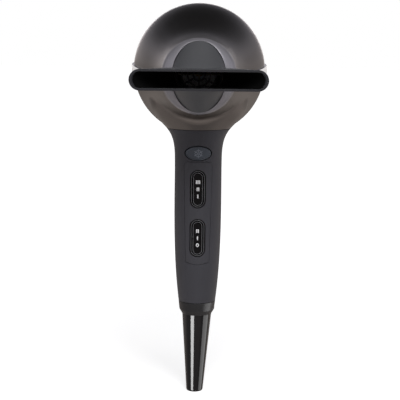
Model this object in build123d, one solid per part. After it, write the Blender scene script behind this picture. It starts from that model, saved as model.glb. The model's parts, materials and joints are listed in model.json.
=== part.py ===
from build123d import *
import os
from math import sqrt

# Hand-held hair dryer with a flat air concentrator.
# Frame: +Z up along the grip, air leaves towards -Y, X across. The origin is on the grip axis at
# the middle of the hand hold. Every length is in millimetres.

# ---- shared fits -------------------------------------------------------------------------------
SEAT_GAP = 0.3          # between a fixed piece and the seat it rests on
SLIDE_GAP = 0.35        # around a piece that slides or tilts in an opening
RUN_GAP = 0.05          # radial running fit of a pin or tube in its bearing
OVERRUN = 20.0          # how far a cutting shape runs past what it cuts
FAR = 100.0             # half size of a block that reaches past the whole body
IN_FRONT_Y = -40.0      # a plane well in front of the grip

# ---- head --------------------------------------------------------------------------------------
AXIS_Z = 96.0           # barrel axis above the origin
WALL = 2.4              # moulded wall of head and grip
BELL_FRONT_R = 26.5     # barrel at the outlet
BELL_FRONT_Y = -75.0
BELL_WAIST = (29.0, -40.0)
BELL_MIDDLE = (39.8, 0.0)
BELL_RIM = (50.5, 45.0)
BELL_TUCK = 2.3         # how much the rear edge draws in behind the rim
BELL_REAR_R = BELL_RIM[0] - BELL_TUCK
BELL_REAR_Y = 64.0
BELL_FRONT_SLOPE = 0.03
BELL_REAR_SLOPE = -0.25
NECK_FILLET = 6.0       # blend between neck and barrel
NECK_EDGE_LOW_Z = 48.0  # the blended edge lies above this height
NECK_EDGE_TOP_Z = 86.0
BORDER_Z = 54.0         # colour border between head and grip
BORDER_BEND_Y = 3.0     # the border is level up to here, then falls to the rear
BORDER_REAR = (30.0, 36.0)
SPIGOT_DEPTH = 9.0
SPIGOT_WALL = 1.6
WEB_LIFT = 2.0          # the web of the spigot above the colour border
WEB_BACK_Y = 14.0

# ---- grip, its sections as height, half width, front face and back face -------------------------
GRIP_FOOT_Z = -75.6
GRIP_HALF = 17.5
GRIP_FRONT_Y = -19.5
GRIP_SECTIONS = (
    (GRIP_FOOT_Z, 13.8, -16.8, 13.8),
    (-48.0, 16.4, -19.1, 17.4),
    (-15.0, GRIP_HALF, GRIP_FRONT_Y, 19.3),
    (25.0, GRIP_HALF, GRIP_FRONT_Y, 20.2),
)
NECK_SECTIONS = (       # the grip flares from its last section into the barrel
    GRIP_SECTIONS[-1],
    (33.0, GRIP_HALF + 0.1, GRIP_FRONT_Y, 20.9),
    (40.0, GRIP_HALF + 0.6, GRIP_FRONT_Y, 22.6),
    (47.0, GRIP_HALF + 2.3, GRIP_FRONT_Y, 26.4),
    (54.0, GRIP_HALF + 6.8, GRIP_FRONT_Y, 33.0),
    (61.0, GRIP_HALF + 13.8, GRIP_FRONT_Y, 40.0),
    (68.0, GRIP_HALF + 18.3, GRIP_FRONT_Y, 45.0),
    (76.0, GRIP_HALF + 20.0, GRIP_FRONT_Y, 46.0),
    (84.0, GRIP_HALF + 20.0, GRIP_FRONT_Y, 46.0),
)
SHELL_SPLIT = 0.3       # seam between the two grip shells

# ---- side trims --------------------------------------------------------------------------------
TRIM_PROUD = 1.5
TRIM_SEAT = 1.2
TRIM_TIP_Y = -2.0
TRIM_REAR_Y = 60.0
TRIM_HALF_REAR = 4.6

# ---- control panel and switches ----------------------------------------------------------------
PANEL_TOP_Z = 30.3
PANEL_FOOT_Z = -44.0
PANEL_TOP_HALF = 10.25
PANEL_FOOT_HALF = 8.5
PANEL_SAG = 1.8
PANEL_CORNER = 3.0
PANEL_RECESS = 0.35
PANEL_THICK = 1.0
HEAT_Z = 10.4
SPEED_Z = -26.0
BEZEL_WIDTH = 11.0
BEZEL_LENGTH = 28.0
BEZEL_FRONT_Y = -18.5
BEZEL_DEPTH = 1.9
BEZEL_CHAMFER = 0.7
ROCKER_WIDTH = 7.2
ROCKER_FACE_Y = -18.9
PIVOT_Y = -14.5
ROCKER_FACE_HALF = 11.5
ROCKER_BACK_Y = -13.0
ROCKER_CHAMFER = 0.5
PIVOT_PIN_R = 1.2
PIN_SHORT = 0.2         # the pivot pins end this far inside the cheeks
CHEEK_THICK = 1.3
CHEEK_HALF_LENGTH = 3.5
SWITCH_DECK_Y = -11.0
SWITCH_BACK_Y = -3.0
SWITCH_HALF_LENGTH = 12.6
EAR_LENGTH = 3.0
EAR_HALF_WIDTH = 3.0
TERMINAL_PLACES = (-8.0, 0.0, 8.0)
TERMINAL_HALF_WIDTH = 2.0
TERMINAL_HALF_THICK = 0.4
TERMINAL_LENGTH = 2.2
MARK_PROUD = 0.15
MARK_STROKE = 0.8
MARK_HEIGHT = 2.6
MARK_PITCH = 5.3
ZERO_HALF_WIDTH = 1.15
ZERO_LINE = 0.6

# ---- cool-shot button --------------------------------------------------------------------------
COOL_Z = 36.9
COOL_HALF_WIDTH = 9.8
COOL_HALF_HEIGHT = 5.2
COOL_PROUD = 0.7
COOL_TRAVEL = 1.4
COOL_LIP = 0.9
COOL_THICK = 3.7
STEM_R = 1.9
MICRO_FRONT_Y = -10.6
MICRO_BACK_Y = -4.0
MICRO_HALF_WIDTH = 6.0
MICRO_HALF_HEIGHT = 4.0
MICRO_ARM_END = 13.0
MICRO_ARM_HALF = 2.5
MICRO_ARM_STEP = 3.2    # the arms lie this far behind the switch front
SPRING_R = 3.0
SPRING_WIRE_R = 0.35
SPRING_TURNS = 4

# ---- circuit board and its parts: left, right, depth, foot, top ---------------------------------
BOARD_Y = 3.0
BOARD_THICK = 1.6
BOARD_HALF_WIDTH = 11.0
BOARD_FOOT_Z = 1.0
BOARD_TOP_Z = 33.0
BOARD_BLOCKS = (
    (-8.0, 0.0, 6.4, 20.0, 30.0),
    (-8.0, -4.0, 2.4, 7.0, 12.0),
    (-2.0, 2.0, 2.4, 7.0, 12.0),
    (4.0, 8.0, 2.4, 7.0, 12.0),
)
CAPACITOR_PLACE = (5.0, 25.0)
CAPACITOR_R = 3.0
CAPACITOR_LENGTH = 6.0

# ---- outlet and nozzle -------------------------------------------------------------------------
OUTLET_RING_R = 24.0
OUTLET_RING_WALL = 2.4
OUTLET_RING_FRONT_Y = -73.4
OUTLET_RING_BACK_Y = -52.0
GRILLE_FRONT_Y = -57.5
GRILLE_THICK = 1.6
GRILLE_RIM = 1.4
GRILLE_WIRE = 1.0
GRILLE_RADII = (4.0, 8.0, 12.0, 16.0)
GRILLE_SPOKES = 6
SLEEVE_WALL = 1.4
SLEEVE_BACK_Y = -60.0
SLEEVE_FRONT_Y = -80.5
SLEEVE_LIP = 1.2
LIP_THICK = 1.2
STOP_THICK = 1.0
COLLAR_BACK_Y = -75.3
COLLAR_BAND_Y = -78.5
COLLAR_STEP_Y = -80.9
COLLAR_FRONT_Y = -84.4
COLLAR_BAND_R = BELL_FRONT_R - 0.6
COLLAR_STEP_R = BELL_FRONT_R - 1.6
COLLAR_DOME = (BELL_FRONT_R - 4.3, -83.2)
COLLAR_FACE_R = BELL_FRONT_R - 9.0
COLLAR_PLATE = 2.0
NOZZLE_HALF_WIDTH = 18.65
NOZZLE_HALF_HEIGHT = 24.7
NOZZLE_WALL = 1.6
NOZZLE_BACK_Y = -81.2
NOZZLE_ROOF_END_Y = -113.0
FAN_START_Y = -98.0
SLOT_Y = -130.0
SLOT_HALF_LENGTH = 46.0
SLOT_HALF_HEIGHT = 7.1

# ---- heater ------------------------------------------------------------------------------------
LINER_R = 23.0
LINER_WALL = 0.6
LINER_FRONT_Y = -51.0
LINER_BACK_Y = 6.0
MICA_THICK = 0.8
MICA_HALF_WIDTH = 16.0
MICA_FRONT_Y = -48.0
MICA_BACK_Y = 0.0
COIL_R = 17.0
COIL_WIRE_R = 0.55
COIL_PITCH = 7.0
COIL_TURNS = 5
COIL_INSET = 2.0
FOOT_TAB_Y = -4.0
THERMOSTAT_X = (4.0, 13.0)
THERMOSTAT_Y = (-14.0, -6.0)
THERMOSTAT_HEIGHT = 4.0
FUSE_R = 1.6
FUSE_X = -8.0
FUSE_Y = (-16.0, -6.0)
FUSE_SADDLE_HALF = 1.5
FUSE_SADDLE_Y = (-14.0, -8.0)

# ---- ion module, hung below the heater ---------------------------------------------------------
ION_DROP = 5.5
ION_HEIGHT = 7.5
ION_HALF_WIDTH = 8.0
ION_Y = (-16.0, -2.0)
ION_BRACKET_HALF = 3.0
ION_BRACKET_Y = (-14.0, -4.0)

# ---- motor and fan -----------------------------------------------------------------------------
SHAFT_R = 1.6
MOTOR_R = 14.0
MOTOR_WALL = 0.8
MOTOR_FRONT_Y = 8.0
MOTOR_BACK_Y = 34.0
CAN_FRONT_THICK = 1.2
CAP_THICK = 2.4
BEARING_SEAT_WALL = 1.2
BEARING_SEAT_LENGTH = 4.0
BEARING_R = 4.0
BEARING_LENGTH = 5.0
SHAFT_END = 1.0          # the shaft stands this far past the bearing and the fan hub
ARMATURE_R = 9.6
ARMATURE_INSET = 6.0
SLOT_FLOOR_R = 4.5
SLOT_HALF_WIDTH = 0.9
ARMATURE_SLOTS = 8
MAGNET_INSET = 5.0
MAGNET_SPLIT_HALF = 3.0
MAGNET_OUTER_R = 12.9
MAGNET_INNER_R = 10.2
MOUNT_WALL = 1.6
HUB_WALL = 1.6
REAR_RING_R = BELL_REAR_R - WALL - SEAT_GAP
SHROUD_INSET = 4.5      # the fan shroud is this much smaller than the rear ring
SHROUD_R = REAR_RING_R - SHROUD_INSET
SHROUD_WALL = 1.6
SHROUD_BACK_Y = 54.0
FUNNEL_TOP_Y = 12.0
FUNNEL_FOOT_Y = -2.0
FUNNEL_WALL_RISE = 4.0
FUNNEL_FLARE = 7.0      # the funnel starts this much inside the shroud
FUNNEL_LAND = 3.0
STATOR_VANES = 7
VANE_Y = 25.0
VANE_LENGTH = 14.0
VANE_THICK = 1.2
VANE_PITCH = 18.0
VANE_START = 10.0
IMPELLER_FRONT_Y = 39.0
IMPELLER_BACK_Y = 52.0
IMPELLER_HUB_R = 10.0
IMPELLER_TIP_GAP = 1.2
FAN_BLADES = 9
BLADE_Y = 45.0
BLADE_LENGTH = 15.0
BLADE_THICK = 1.3
BLADE_PITCH = -38.0
HUB_FLARE = 5.0
HUB_WAIST = (IMPELLER_HUB_R + 2.0, 47.0)
HUB_NOSE_R = 4.0

# ---- rear ring and filter cap ------------------------------------------------------------------
REAR_RING_WALL = 1.7
REAR_RING_FRONT_Y = 52.5
REAR_RING_LAND = 1.5
REAR_RING_SHORT = 0.4   # the ring ends this far inside the shell's rear edge
CAP_SKIRT_WALL = 1.6
CAP_SKIRT_FRONT_Y = 56.5
CAP_EDGE_Y = 64.3
CAP_EDGE_R = BELL_REAR_R - SEAT_GAP
CAP_SHOULDER = (BELL_REAR_R - 1.6, 71.0)
CAP_CREST = (BELL_REAR_R - 4.6, 75.6)
CAP_BORE_R = BELL_REAR_R - 7.7
MESH_Y = 69.0
MESH_THICK = 0.6
MESH_RIM = 1.6
MESH_RIM_LIP = 0.4
MESH_PITCH = 4.0
MESH_BAR = 0.5
REAR_GRILLE_Y = 72.4
REAR_GRILLE_THICK = 2.0
REAR_GRILLE_DOME = 4.2
REAR_GRILLE_RIM = 3.0
REAR_GRILLE_WIRE = 1.4
REAR_GRILLE_RINGS = 8
REAR_GRILLE_RIBS = 8
REAR_GRILLE_HUB_R = 3.0
RIB_HALF_THICK = 0.6

# ---- foot of the grip --------------------------------------------------------------------------
FOOT_FLOOR_Z = -85.6
FOOT_CHAMFER_Z = -82.2
FOOT_FLOOR = 3.0
FOOT_TAPER = 0.7
FOOT_CHAMFER = 2.7
FOOT_WALL = 3.6
FOOT_SPIGOT_HEIGHT = 5.0
SLEEVE_TOP_R = 10.9
SLEEVE_END_R = 6.1
SLEEVE_LENGTH = 60.0
SLEEVE_LEAN = -1.2
SLEEVE_END_ROUND = 2.0
SWIVEL_NECK_R = 7.0
SWIVEL_NECK_TOP_Z = -78.6
CLIP_THICK = 1.0
CLIP_R = 8.6
CLIP_GROOVE_DEPTH = 0.7
CORD_BORE_R = 3.75

# ---- leads and clamp ---------------------------------------------------------------------------
LEAD_R = 0.9
LEAD_X = 4.7
LEAD_Y = 1.4
LEAD_TOP_Z = 16.0
LEAD_TAIL = 2.0
CLAMP_FOOT_Z = -71.2
CLAMP_TOP_Z = -64.4
CLAMP_HALF_DEPTH = 8.0
HEATER_LEAD_X = 10.5
HEATER_LEAD_START_Y = 6.0
HEATER_LEAD_KNEE = (4.0, 50.0)
HEATER_LEAD_BEND = (-8.0, 62.0)
HEATER_LEAD_END_Y = -14.0

# ---- screws ------------------------------------------------------------------------------------
SCREW_R = 1.4
SCREW_HEAD_R = 2.7
SCREW_HEAD_HEIGHT = 1.8
SCREW_DRIVE_R = 0.9
SCREW_DRIVE_DEPTH = 1.0
BOSS_R = 3.4
SCREW_SEAT_Y = 6.0
SCREW_TIP_Y = -8.0
SCREW_PLACES = ((-9.3, -8.0), (9.3, -8.0), (0.0, -60.0))


def save(name, shape):
    """Write one named piece."""
    export_step(shape, f"parts/{name}.step")


def barrel(shape):
    """Move a shape built around the Y axis onto the barrel axis."""
    return Pos(0, 0, AXIS_Z) * shape


def turned(*points):
    """Solid turned about the Y axis from (radius, y) points."""
    return revolve(make_face(Polyline(*points, close=True)), Axis.Y)


def tube(outer, inner, front, back):
    return turned((inner, front), (outer, front), (outer, back), (inner, back))


def disc(radius, front, back):
    return turned((0, front), (radius, front), (radius, back), (0, back))


def rod(radius, front, back, x=0.0, z=0.0):
    """Round bar along Y."""
    return Pos(x, (front + back) / 2, z) * Rot(90, 0, 0) * Cylinder(radius, back - front)


def cross_rod(radius, half_length, y, z):
    """Round bar along X."""
    return Pos(0, y, z) * Rot(0, 90, 0) * Cylinder(radius, 2 * half_length)


def block(x0, x1, y0, y1, z0, z1):
    return Pos((x0 + x1) / 2, (y0 + y1) / 2, (z0 + z1) / 2) * Box(x1 - x0, y1 - y0, z1 - z0)


def along_y(sketch, front, back, z=0.0):
    """Extrude a sketch drawn in X and Z from one y to another."""
    return Pos(0, back, z) * extrude(Plane.XZ * sketch, back - front)


def around(shape, count, start=0.0):
    """Copies of a shape turned evenly about the Y axis."""
    turns = [Rot(0, start + 360 * i / count, 0) * shape for i in range(count)]
    return turns[0].fuse(*turns[1:]) if count > 1 else turns[0]


def moved(shape, x=0.0, y=0.0, z=0.0):
    return Pos(x, y, z) * shape


# ---- outer form of head and grip ---------------------------------------------------------------
BELL = (
    (BELL_FRONT_R, BELL_FRONT_Y),
    BELL_WAIST,
    BELL_MIDDLE,
    BELL_RIM,
    (BELL_REAR_R, BELL_REAR_Y),
)


def bell_solid(inset=0.0):
    """The trumpet-shaped barrel, its outside moved inwards by inset."""
    points = [(radius - inset, y) for radius, y in BELL]
    (front_r, front_y), (rear_r, rear_y) = points[0], points[-1]
    curve = Spline(*points, tangents=[(BELL_FRONT_SLOPE, 1), (BELL_REAR_SLOPE, 1)])
    rest = Polyline(
        (rear_r, rear_y),
        (rear_r, rear_y + OVERRUN),
        (0, rear_y + OVERRUN),
        (0, front_y - OVERRUN),
        (front_r, front_y - OVERRUN),
        (front_r, front_y),
    )
    return barrel(revolve(make_face([curve, rest]), Axis.Y))


def oval_stack(rows, inset=0.0):
    """A smooth stack of ellipses given as height, half width, front face and back face."""
    sections = []
    for z, half_width, front, back in rows:
        oval = Ellipse(half_width - inset, (back - front) / 2 - inset)
        sections.append(Plane.XY.offset(z) * Pos(0, (front + back) / 2) * oval)
    return loft(sections)


def grip_solid(inset=0.0):
    """The hand grip with its flared neck."""
    return oval_stack(GRIP_SECTIONS, inset) + oval_stack(NECK_SECTIONS, inset)


def housing_solid(inset=0.0):
    """Head and hand grip in one, their joint blended."""
    body = bell_solid(inset) + grip_solid(inset)
    joint = [
        edge
        for edge in body.edges()
        if edge.bounding_box().min.Z > NECK_EDGE_LOW_Z
        and edge.bounding_box().max.Z < NECK_EDGE_TOP_Z
    ]
    return fillet(joint, NECK_FILLET + inset)


def border_region(drop=0.0):
    """Everything above the colour border, the border lowered by drop."""
    edge_z = BORDER_Z - drop
    rear_y, rear_z = BORDER_REAR
    top_z = AXIS_Z + FAR
    level = Line((-FAR, edge_z), (BORDER_BEND_Y, edge_z))
    fall = TangentArc((BORDER_BEND_Y, edge_z), (rear_y, rear_z - drop), tangent=(1, 0))
    rest = Polyline(
        (rear_y, rear_z - drop),
        (FAR, rear_z - drop),
        (FAR, top_z),
        (-FAR, top_z),
        (-FAR, edge_z),
    )
    return Pos(-FAR, 0, 0) * extrude(Plane.YZ * make_face([level, fall, rest]), 2 * FAR)


outer_form = housing_solid()
inner_form = housing_solid(WALL)
foot_z, foot_half, foot_front, foot_back = GRIP_SECTIONS[0]
foot_centre = (foot_front + foot_back) / 2
foot_depth = (foot_back - foot_front) / 2
foot_hole = Ellipse(foot_half - WALL, foot_depth - WALL)
grip_foot_opening = Pos(0, foot_centre, foot_z) * extrude(foot_hole, WALL, both=True)
length_limits = block(-FAR, FAR, BELL_FRONT_Y, BELL_REAR_Y, -2 * FAR, 2 * FAR)
shell_all = (outer_form - inner_form - grip_foot_opening) & length_limits

# ---- head shell --------------------------------------------------------------------------------
head_shell = shell_all & border_region()
spigot_inset = WALL + SEAT_GAP
spigot_foot_z = BORDER_Z - SPIGOT_DEPTH
web_z = BORDER_Z + WEB_LIFT
spigot_room = oval_stack(NECK_SECTIONS, spigot_inset + SPIGOT_WALL)
spigot_limits = block(-FAR, FAR, -FAR, FAR, spigot_foot_z, web_z + SPIGOT_WALL)
spigot = (oval_stack(NECK_SECTIONS, spigot_inset) - spigot_room) & spigot_limits
web_slab = block(-FAR, FAR, IN_FRONT_Y, WEB_BACK_Y, web_z, web_z + SPIGOT_WALL) & inner_form
web = web_slab - spigot_room
shroud_room = barrel(disc(SHROUD_R + 1, FUNNEL_FOOT_Y, BELL_REAR_Y))
head_shell = head_shell + ((spigot & border_region(SPIGOT_DEPTH)) + web - shroud_room)


def trim_wedge(grow=0.0):
    """Wedge outline of a side trim, seen from the side, as a prism along +X."""
    tip = (TRIM_TIP_Y - 2 * grow, 0)
    top = (TRIM_REAR_Y + grow, TRIM_HALF_REAR + grow)
    foot = (TRIM_REAR_Y + grow, -TRIM_HALF_REAR - grow)
    outline = make_face(Polyline(tip, foot, top, close=True))
    return Pos(OVERRUN, 0, AXIS_Z) * extrude(Plane.YZ * outline, FAR)


trim_right = (trim_wedge() & bell_solid(-TRIM_PROUD)) - bell_solid(TRIM_SEAT - SEAT_GAP)
trim_left = mirror(trim_right, Plane.YZ)
trim_pocket = trim_wedge(SEAT_GAP) - bell_solid(TRIM_SEAT)
head_shell = head_shell - trim_pocket - mirror(trim_pocket, Plane.YZ)

# ---- grip shells -------------------------------------------------------------------------------
grip_all = shell_all - border_region(SEAT_GAP)
front_half = block(-FAR, FAR, -FAR, -SHELL_SPLIT / 2, -2 * FAR, 2 * FAR)
rear_half = block(-FAR, FAR, SHELL_SPLIT / 2, FAR, -2 * FAR, 2 * FAR)
grip_front = grip_all & front_half
grip_rear = grip_all & rear_half

for x, z in SCREW_PLACES:
    post = rod(BOSS_R, GRIP_FRONT_Y, -SHELL_SPLIT / 2, x, z) & inner_form
    grip_front = grip_front + (post - rod(SCREW_R, SCREW_TIP_Y - SEAT_GAP, 0, x, z))
    seat = rod(BOSS_R, SHELL_SPLIT / 2, FAR, x, z) & inner_form
    bore = rod(SCREW_R + SLIDE_GAP, 0, FAR, x, z)
    head_well = rod(SCREW_HEAD_R + SLIDE_GAP, SCREW_SEAT_Y, FAR, x, z)
    grip_rear = grip_rear + seat - bore - head_well

# ---- control panel -----------------------------------------------------------------------------
def panel_outline(grow=0.0):
    """Panel outline with a sagging foot, as a prism along Y."""
    top = PANEL_TOP_Z + grow
    foot = PANEL_FOOT_Z - grow
    top_half = PANEL_TOP_HALF + grow
    foot_half_width = PANEL_FOOT_HALF + grow
    sides = Polyline((-foot_half_width, foot), (-top_half, top), (top_half, top), (foot_half_width, foot))
    sag = ThreePointArc((foot_half_width, foot), (0, foot - PANEL_SAG), (-foot_half_width, foot))
    face = make_face([sides, sag])
    face = fillet(face.vertices().sort_by(Axis.Y)[-2:], PANEL_CORNER + grow)
    return along_y(face, IN_FRONT_Y, 0)


def stadium(width, length):
    return SlotOverall(length, width, rotation=90)


def switch_opening(z, grow=0.0):
    outline = stadium(BEZEL_WIDTH + 2 * grow, BEZEL_LENGTH + 2 * grow)
    return along_y(outline, IN_FRONT_Y, SWITCH_DECK_Y - 1, z)


panel_seat = PANEL_RECESS + PANEL_THICK
grip_front = grip_front - (panel_outline(SEAT_GAP) - grip_solid(panel_seat + RUN_GAP))
control_panel = (panel_outline() & grip_solid(PANEL_RECESS)) - grip_solid(panel_seat)
for switch_z in (HEAT_Z, SPEED_Z):
    grip_front = grip_front - switch_opening(switch_z, SEAT_GAP)
    control_panel = control_panel - switch_opening(switch_z, SEAT_GAP)


# ---- rocker switches ---------------------------------------------------------------------------
pivot_arm = PIVOT_Y - ROCKER_FACE_Y
rocker_end_r = sqrt(ROCKER_FACE_HALF**2 + pivot_arm**2)
bezel_inner_width = ROCKER_WIDTH + 2 * SLIDE_GAP
bezel_inner_length = 2 * (rocker_end_r + SLIDE_GAP)
cheek_inner = ROCKER_WIDTH / 2 + SLIDE_GAP
cheek_outer = cheek_inner + CHEEK_THICK


def bezel(z):
    """Stadium ring whose inner edge slopes down to the rocker."""
    ring = stadium(BEZEL_WIDTH, BEZEL_LENGTH) - stadium(bezel_inner_width, bezel_inner_length)
    body = along_y(ring, BEZEL_FRONT_Y, BEZEL_FRONT_Y + BEZEL_DEPTH, z)
    front_edges = body.faces().sort_by(Axis.Y)[0].inner_wires()[0].edges()
    return chamfer(front_edges, BEZEL_CHAMFER)


def rocker(z):
    """Rocking cap with round ends about its pivot, and its two pivot pins."""
    side = cross_rod(rocker_end_r, ROCKER_WIDTH / 2, PIVOT_Y, 0)
    side = side & block(-FAR, FAR, ROCKER_FACE_Y, ROCKER_BACK_Y, -FAR, FAR)
    cap = side & along_y(stadium(ROCKER_WIDTH, 2 * rocker_end_r), IN_FRONT_Y, 0)
    rim = cap.faces().sort_by(Axis.Y)[0].edges()
    cap = chamfer(rim, ROCKER_CHAMFER)
    pins = cross_rod(PIVOT_PIN_R, cheek_outer - PIN_SHORT, PIVOT_Y, 0)
    return Pos(0, 0, z) * (cap + pins)


def switch_body(z):
    """Switch block with two cheeks that carry the rocker pins, and its fixing ears."""
    half, long = cheek_outer, SWITCH_HALF_LENGTH
    body = block(-half, half, SWITCH_DECK_Y, SWITCH_BACK_Y, -long, long)
    cheek_front = BEZEL_FRONT_Y + BEZEL_DEPTH + SEAT_GAP
    high = CHEEK_HALF_LENGTH
    cheek = block(cheek_inner, cheek_outer, cheek_front, SWITCH_DECK_Y, -high, high)
    body = body + cheek + mirror(cheek, Plane.YZ)
    for side in (-1, 1):
        near = side * (BEZEL_LENGTH / 2 + SEAT_GAP)
        far = near + side * EAR_LENGTH
        ear_front = GRIP_FRONT_Y + WALL + 2 * SEAT_GAP
        wide = EAR_HALF_WIDTH
        body = body + block(-wide, wide, ear_front, SWITCH_BACK_Y, *sorted((near, far)))
        foot_ends = sorted((side * SWITCH_HALF_LENGTH, far))
        body = body + block(-wide, wide, SWITCH_DECK_Y + 2, SWITCH_BACK_Y, *foot_ends)
    for place in TERMINAL_PLACES:
        wide, thick = TERMINAL_HALF_WIDTH, TERMINAL_HALF_THICK
        end_y = SWITCH_BACK_Y + TERMINAL_LENGTH
        body = body + block(-wide, wide, SWITCH_BACK_Y, end_y, place - thick, place + thick)
    bore = cross_rod(PIVOT_PIN_R + RUN_GAP, cheek_outer + 1, PIVOT_Y, 0)
    return Pos(0, 0, z) * (body - bore)


def stroke(x, z):
    """One upright printed bar on a rocker face."""
    half = MARK_STROKE / 2
    high = MARK_HEIGHT / 2
    return block(x - half, x + half, ROCKER_FACE_Y - MARK_PROUD, ROCKER_FACE_Y, z - high, z + high)


def strokes(count, z):
    pitch = 2 * MARK_STROKE
    return [stroke((i - (count - 1) / 2) * pitch, z) for i in range(count)]


def zero(z):
    high = MARK_HEIGHT / 2
    ring = Ellipse(ZERO_HALF_WIDTH, high) - Ellipse(ZERO_HALF_WIDTH - ZERO_LINE, high - ZERO_LINE)
    return [along_y(ring, ROCKER_FACE_Y - MARK_PROUD, ROCKER_FACE_Y, z)]


heat_strokes = []
for count, step in ((3, 1), (2, 0), (1, -1)):
    heat_strokes += strokes(count, HEAT_Z + step * MARK_PITCH)
speed_strokes = zero(SPEED_Z - MARK_PITCH)
for count, step in ((2, 1), (1, 0)):
    speed_strokes += strokes(count, SPEED_Z + step * MARK_PITCH)

# ---- cool-shot button --------------------------------------------------------------------------
def cool_oval(grow=0.0):
    outline = Ellipse(COOL_HALF_WIDTH + grow, COOL_HALF_HEIGHT + grow)
    return along_y(outline, IN_FRONT_Y, MICRO_BACK_Y - 1, COOL_Z)


lip_front = WALL + SLIDE_GAP
button_face = cool_oval() & (grip_solid(-COOL_PROUD) - grip_solid(COOL_THICK))
button_lip = cool_oval(COOL_LIP) & (grip_solid(lip_front) - grip_solid(COOL_THICK))
button_back_y = GRIP_FRONT_Y + COOL_THICK
stem_end_y = MICRO_FRONT_Y - SEAT_GAP - COOL_TRAVEL
stem = rod(STEM_R, button_back_y - COOL_THICK / 2, stem_end_y, 0, COOL_Z)
cool_button = button_face + button_lip + stem
grip_front = grip_front - cool_oval(SLIDE_GAP)

wide, high = MICRO_HALF_WIDTH, MICRO_HALF_HEIGHT
micro_switch = block(-wide, wide, MICRO_FRONT_Y, MICRO_BACK_Y, COOL_Z - high, COOL_Z + high)
wide, high = MICRO_ARM_END, MICRO_ARM_HALF
arm_front_y = MICRO_FRONT_Y + MICRO_ARM_STEP
arms = block(-wide, wide, arm_front_y, MICRO_BACK_Y, COOL_Z - high, COOL_Z + high)
micro_switch = (micro_switch + arms) & inner_form
spring_front_y = button_back_y + 2 * SEAT_GAP + SPRING_WIRE_R
spring_length = MICRO_FRONT_Y - SEAT_GAP - SPRING_WIRE_R - spring_front_y
spring_pitch = spring_length / SPRING_TURNS
spring_path = Helix(pitch=spring_pitch, height=spring_length, radius=SPRING_R)
spring_section = Plane(origin=spring_path @ 0, z_dir=spring_path % 0) * Circle(SPRING_WIRE_R)
cool_spring = Pos(0, spring_front_y, COOL_Z) * Rot(-90, 0, 0) * sweep(spring_section, path=spring_path)

# ---- circuit board -----------------------------------------------------------------------------
face_y = BOARD_Y + BOARD_THICK
wide = BOARD_HALF_WIDTH
board = block(-wide, wide, BOARD_Y, face_y, BOARD_FOOT_Z, BOARD_TOP_Z)
board_parts = [rod(CAPACITOR_R, face_y, face_y + CAPACITOR_LENGTH, *CAPACITOR_PLACE)]
for left, right, depth, low, high in BOARD_BLOCKS:
    board_parts.append(block(left, right, face_y, face_y + depth, low, high))

# ---- outlet ring, grille, nozzle sleeve --------------------------------------------------------
ring_bore = OUTLET_RING_R - OUTLET_RING_WALL
outlet_ring = tube(OUTLET_RING_R, ring_bore, OUTLET_RING_FRONT_Y, OUTLET_RING_BACK_Y)
grille_back = GRILLE_FRONT_Y + GRILLE_THICK
grille_r = ring_bore - SEAT_GAP
wire = GRILLE_WIRE / 2
outlet_grille = tube(grille_r, grille_r - GRILLE_RIM, GRILLE_FRONT_Y, grille_back)
for radius in GRILLE_RADII:
    outlet_grille = outlet_grille + tube(radius + wire, radius - wire, GRILLE_FRONT_Y, grille_back)
spoke = block(GRILLE_RADII[0], grille_r - GRILLE_RIM / 2, GRILLE_FRONT_Y, grille_back, -wire, wire)
outlet_grille = outlet_grille + around(spoke, GRILLE_SPOKES, 180 / GRILLE_SPOKES)

sleeve_r = ring_bore - SLIDE_GAP
sleeve_bore = sleeve_r - SLEEVE_WALL
lip_r = sleeve_r + SLEEVE_LIP
lip_back_y = SLEEVE_FRONT_Y + LIP_THICK
stop_y = COLLAR_BACK_Y + SEAT_GAP
nozzle_sleeve = turned(
    (sleeve_bore, SLEEVE_FRONT_Y),
    (lip_r, SLEEVE_FRONT_Y),
    (lip_r, lip_back_y),
    (sleeve_r, lip_back_y),
    (sleeve_r, stop_y),
    (lip_r, stop_y),
    (lip_r, stop_y + STOP_THICK),
    (sleeve_r, stop_y + STOP_THICK),
    (sleeve_r, SLEEVE_BACK_Y),
    (sleeve_bore, SLEEVE_BACK_Y),
)

# ---- nozzle collar and nozzle body -------------------------------------------------------------
collar_bore = sleeve_r + RUN_GAP
pocket_r = lip_r + SEAT_GAP
ledge_y = lip_back_y + SEAT_GAP
front_plate_back = COLLAR_FRONT_Y + COLLAR_PLATE
collar_step = (COLLAR_STEP_R, COLLAR_STEP_Y)
collar_face = (COLLAR_FACE_R, COLLAR_FRONT_Y)
collar_dome = ThreePointArc(collar_step, COLLAR_DOME, collar_face)
collar_rest = Polyline(
    collar_face,
    (COLLAR_FACE_R, front_plate_back),
    (pocket_r, front_plate_back),
    (pocket_r, ledge_y),
    (collar_bore, ledge_y),
    (collar_bore, COLLAR_BACK_Y),
    (BELL_FRONT_R, COLLAR_BACK_Y),
    (COLLAR_BAND_R, COLLAR_BAND_Y),
    collar_step,
)
nozzle_collar = revolve(make_face([collar_dome, collar_rest]), Axis.Y)
oval_hole = Ellipse(NOZZLE_HALF_WIDTH + SEAT_GAP, NOZZLE_HALF_HEIGHT + SEAT_GAP)
nozzle_collar = nozzle_collar - along_y(oval_hole, COLLAR_FRONT_Y - OVERRUN, COLLAR_STEP_Y)


def section_at(sketch, y):
    """A sketch drawn in X and Z, set at one y."""
    return Plane.XZ.offset(-y) * sketch


def oval(half_width, half_height):
    """Ellipse made of an upper and a lower half that meet at its left and right ends."""
    upper = EllipticalCenterArc((0, 0), half_width, half_height, 0, arc_size=180)
    lower = EllipticalCenterArc((0, 0), half_width, half_height, 180, arc_size=180)
    return make_face([upper, lower])


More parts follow.
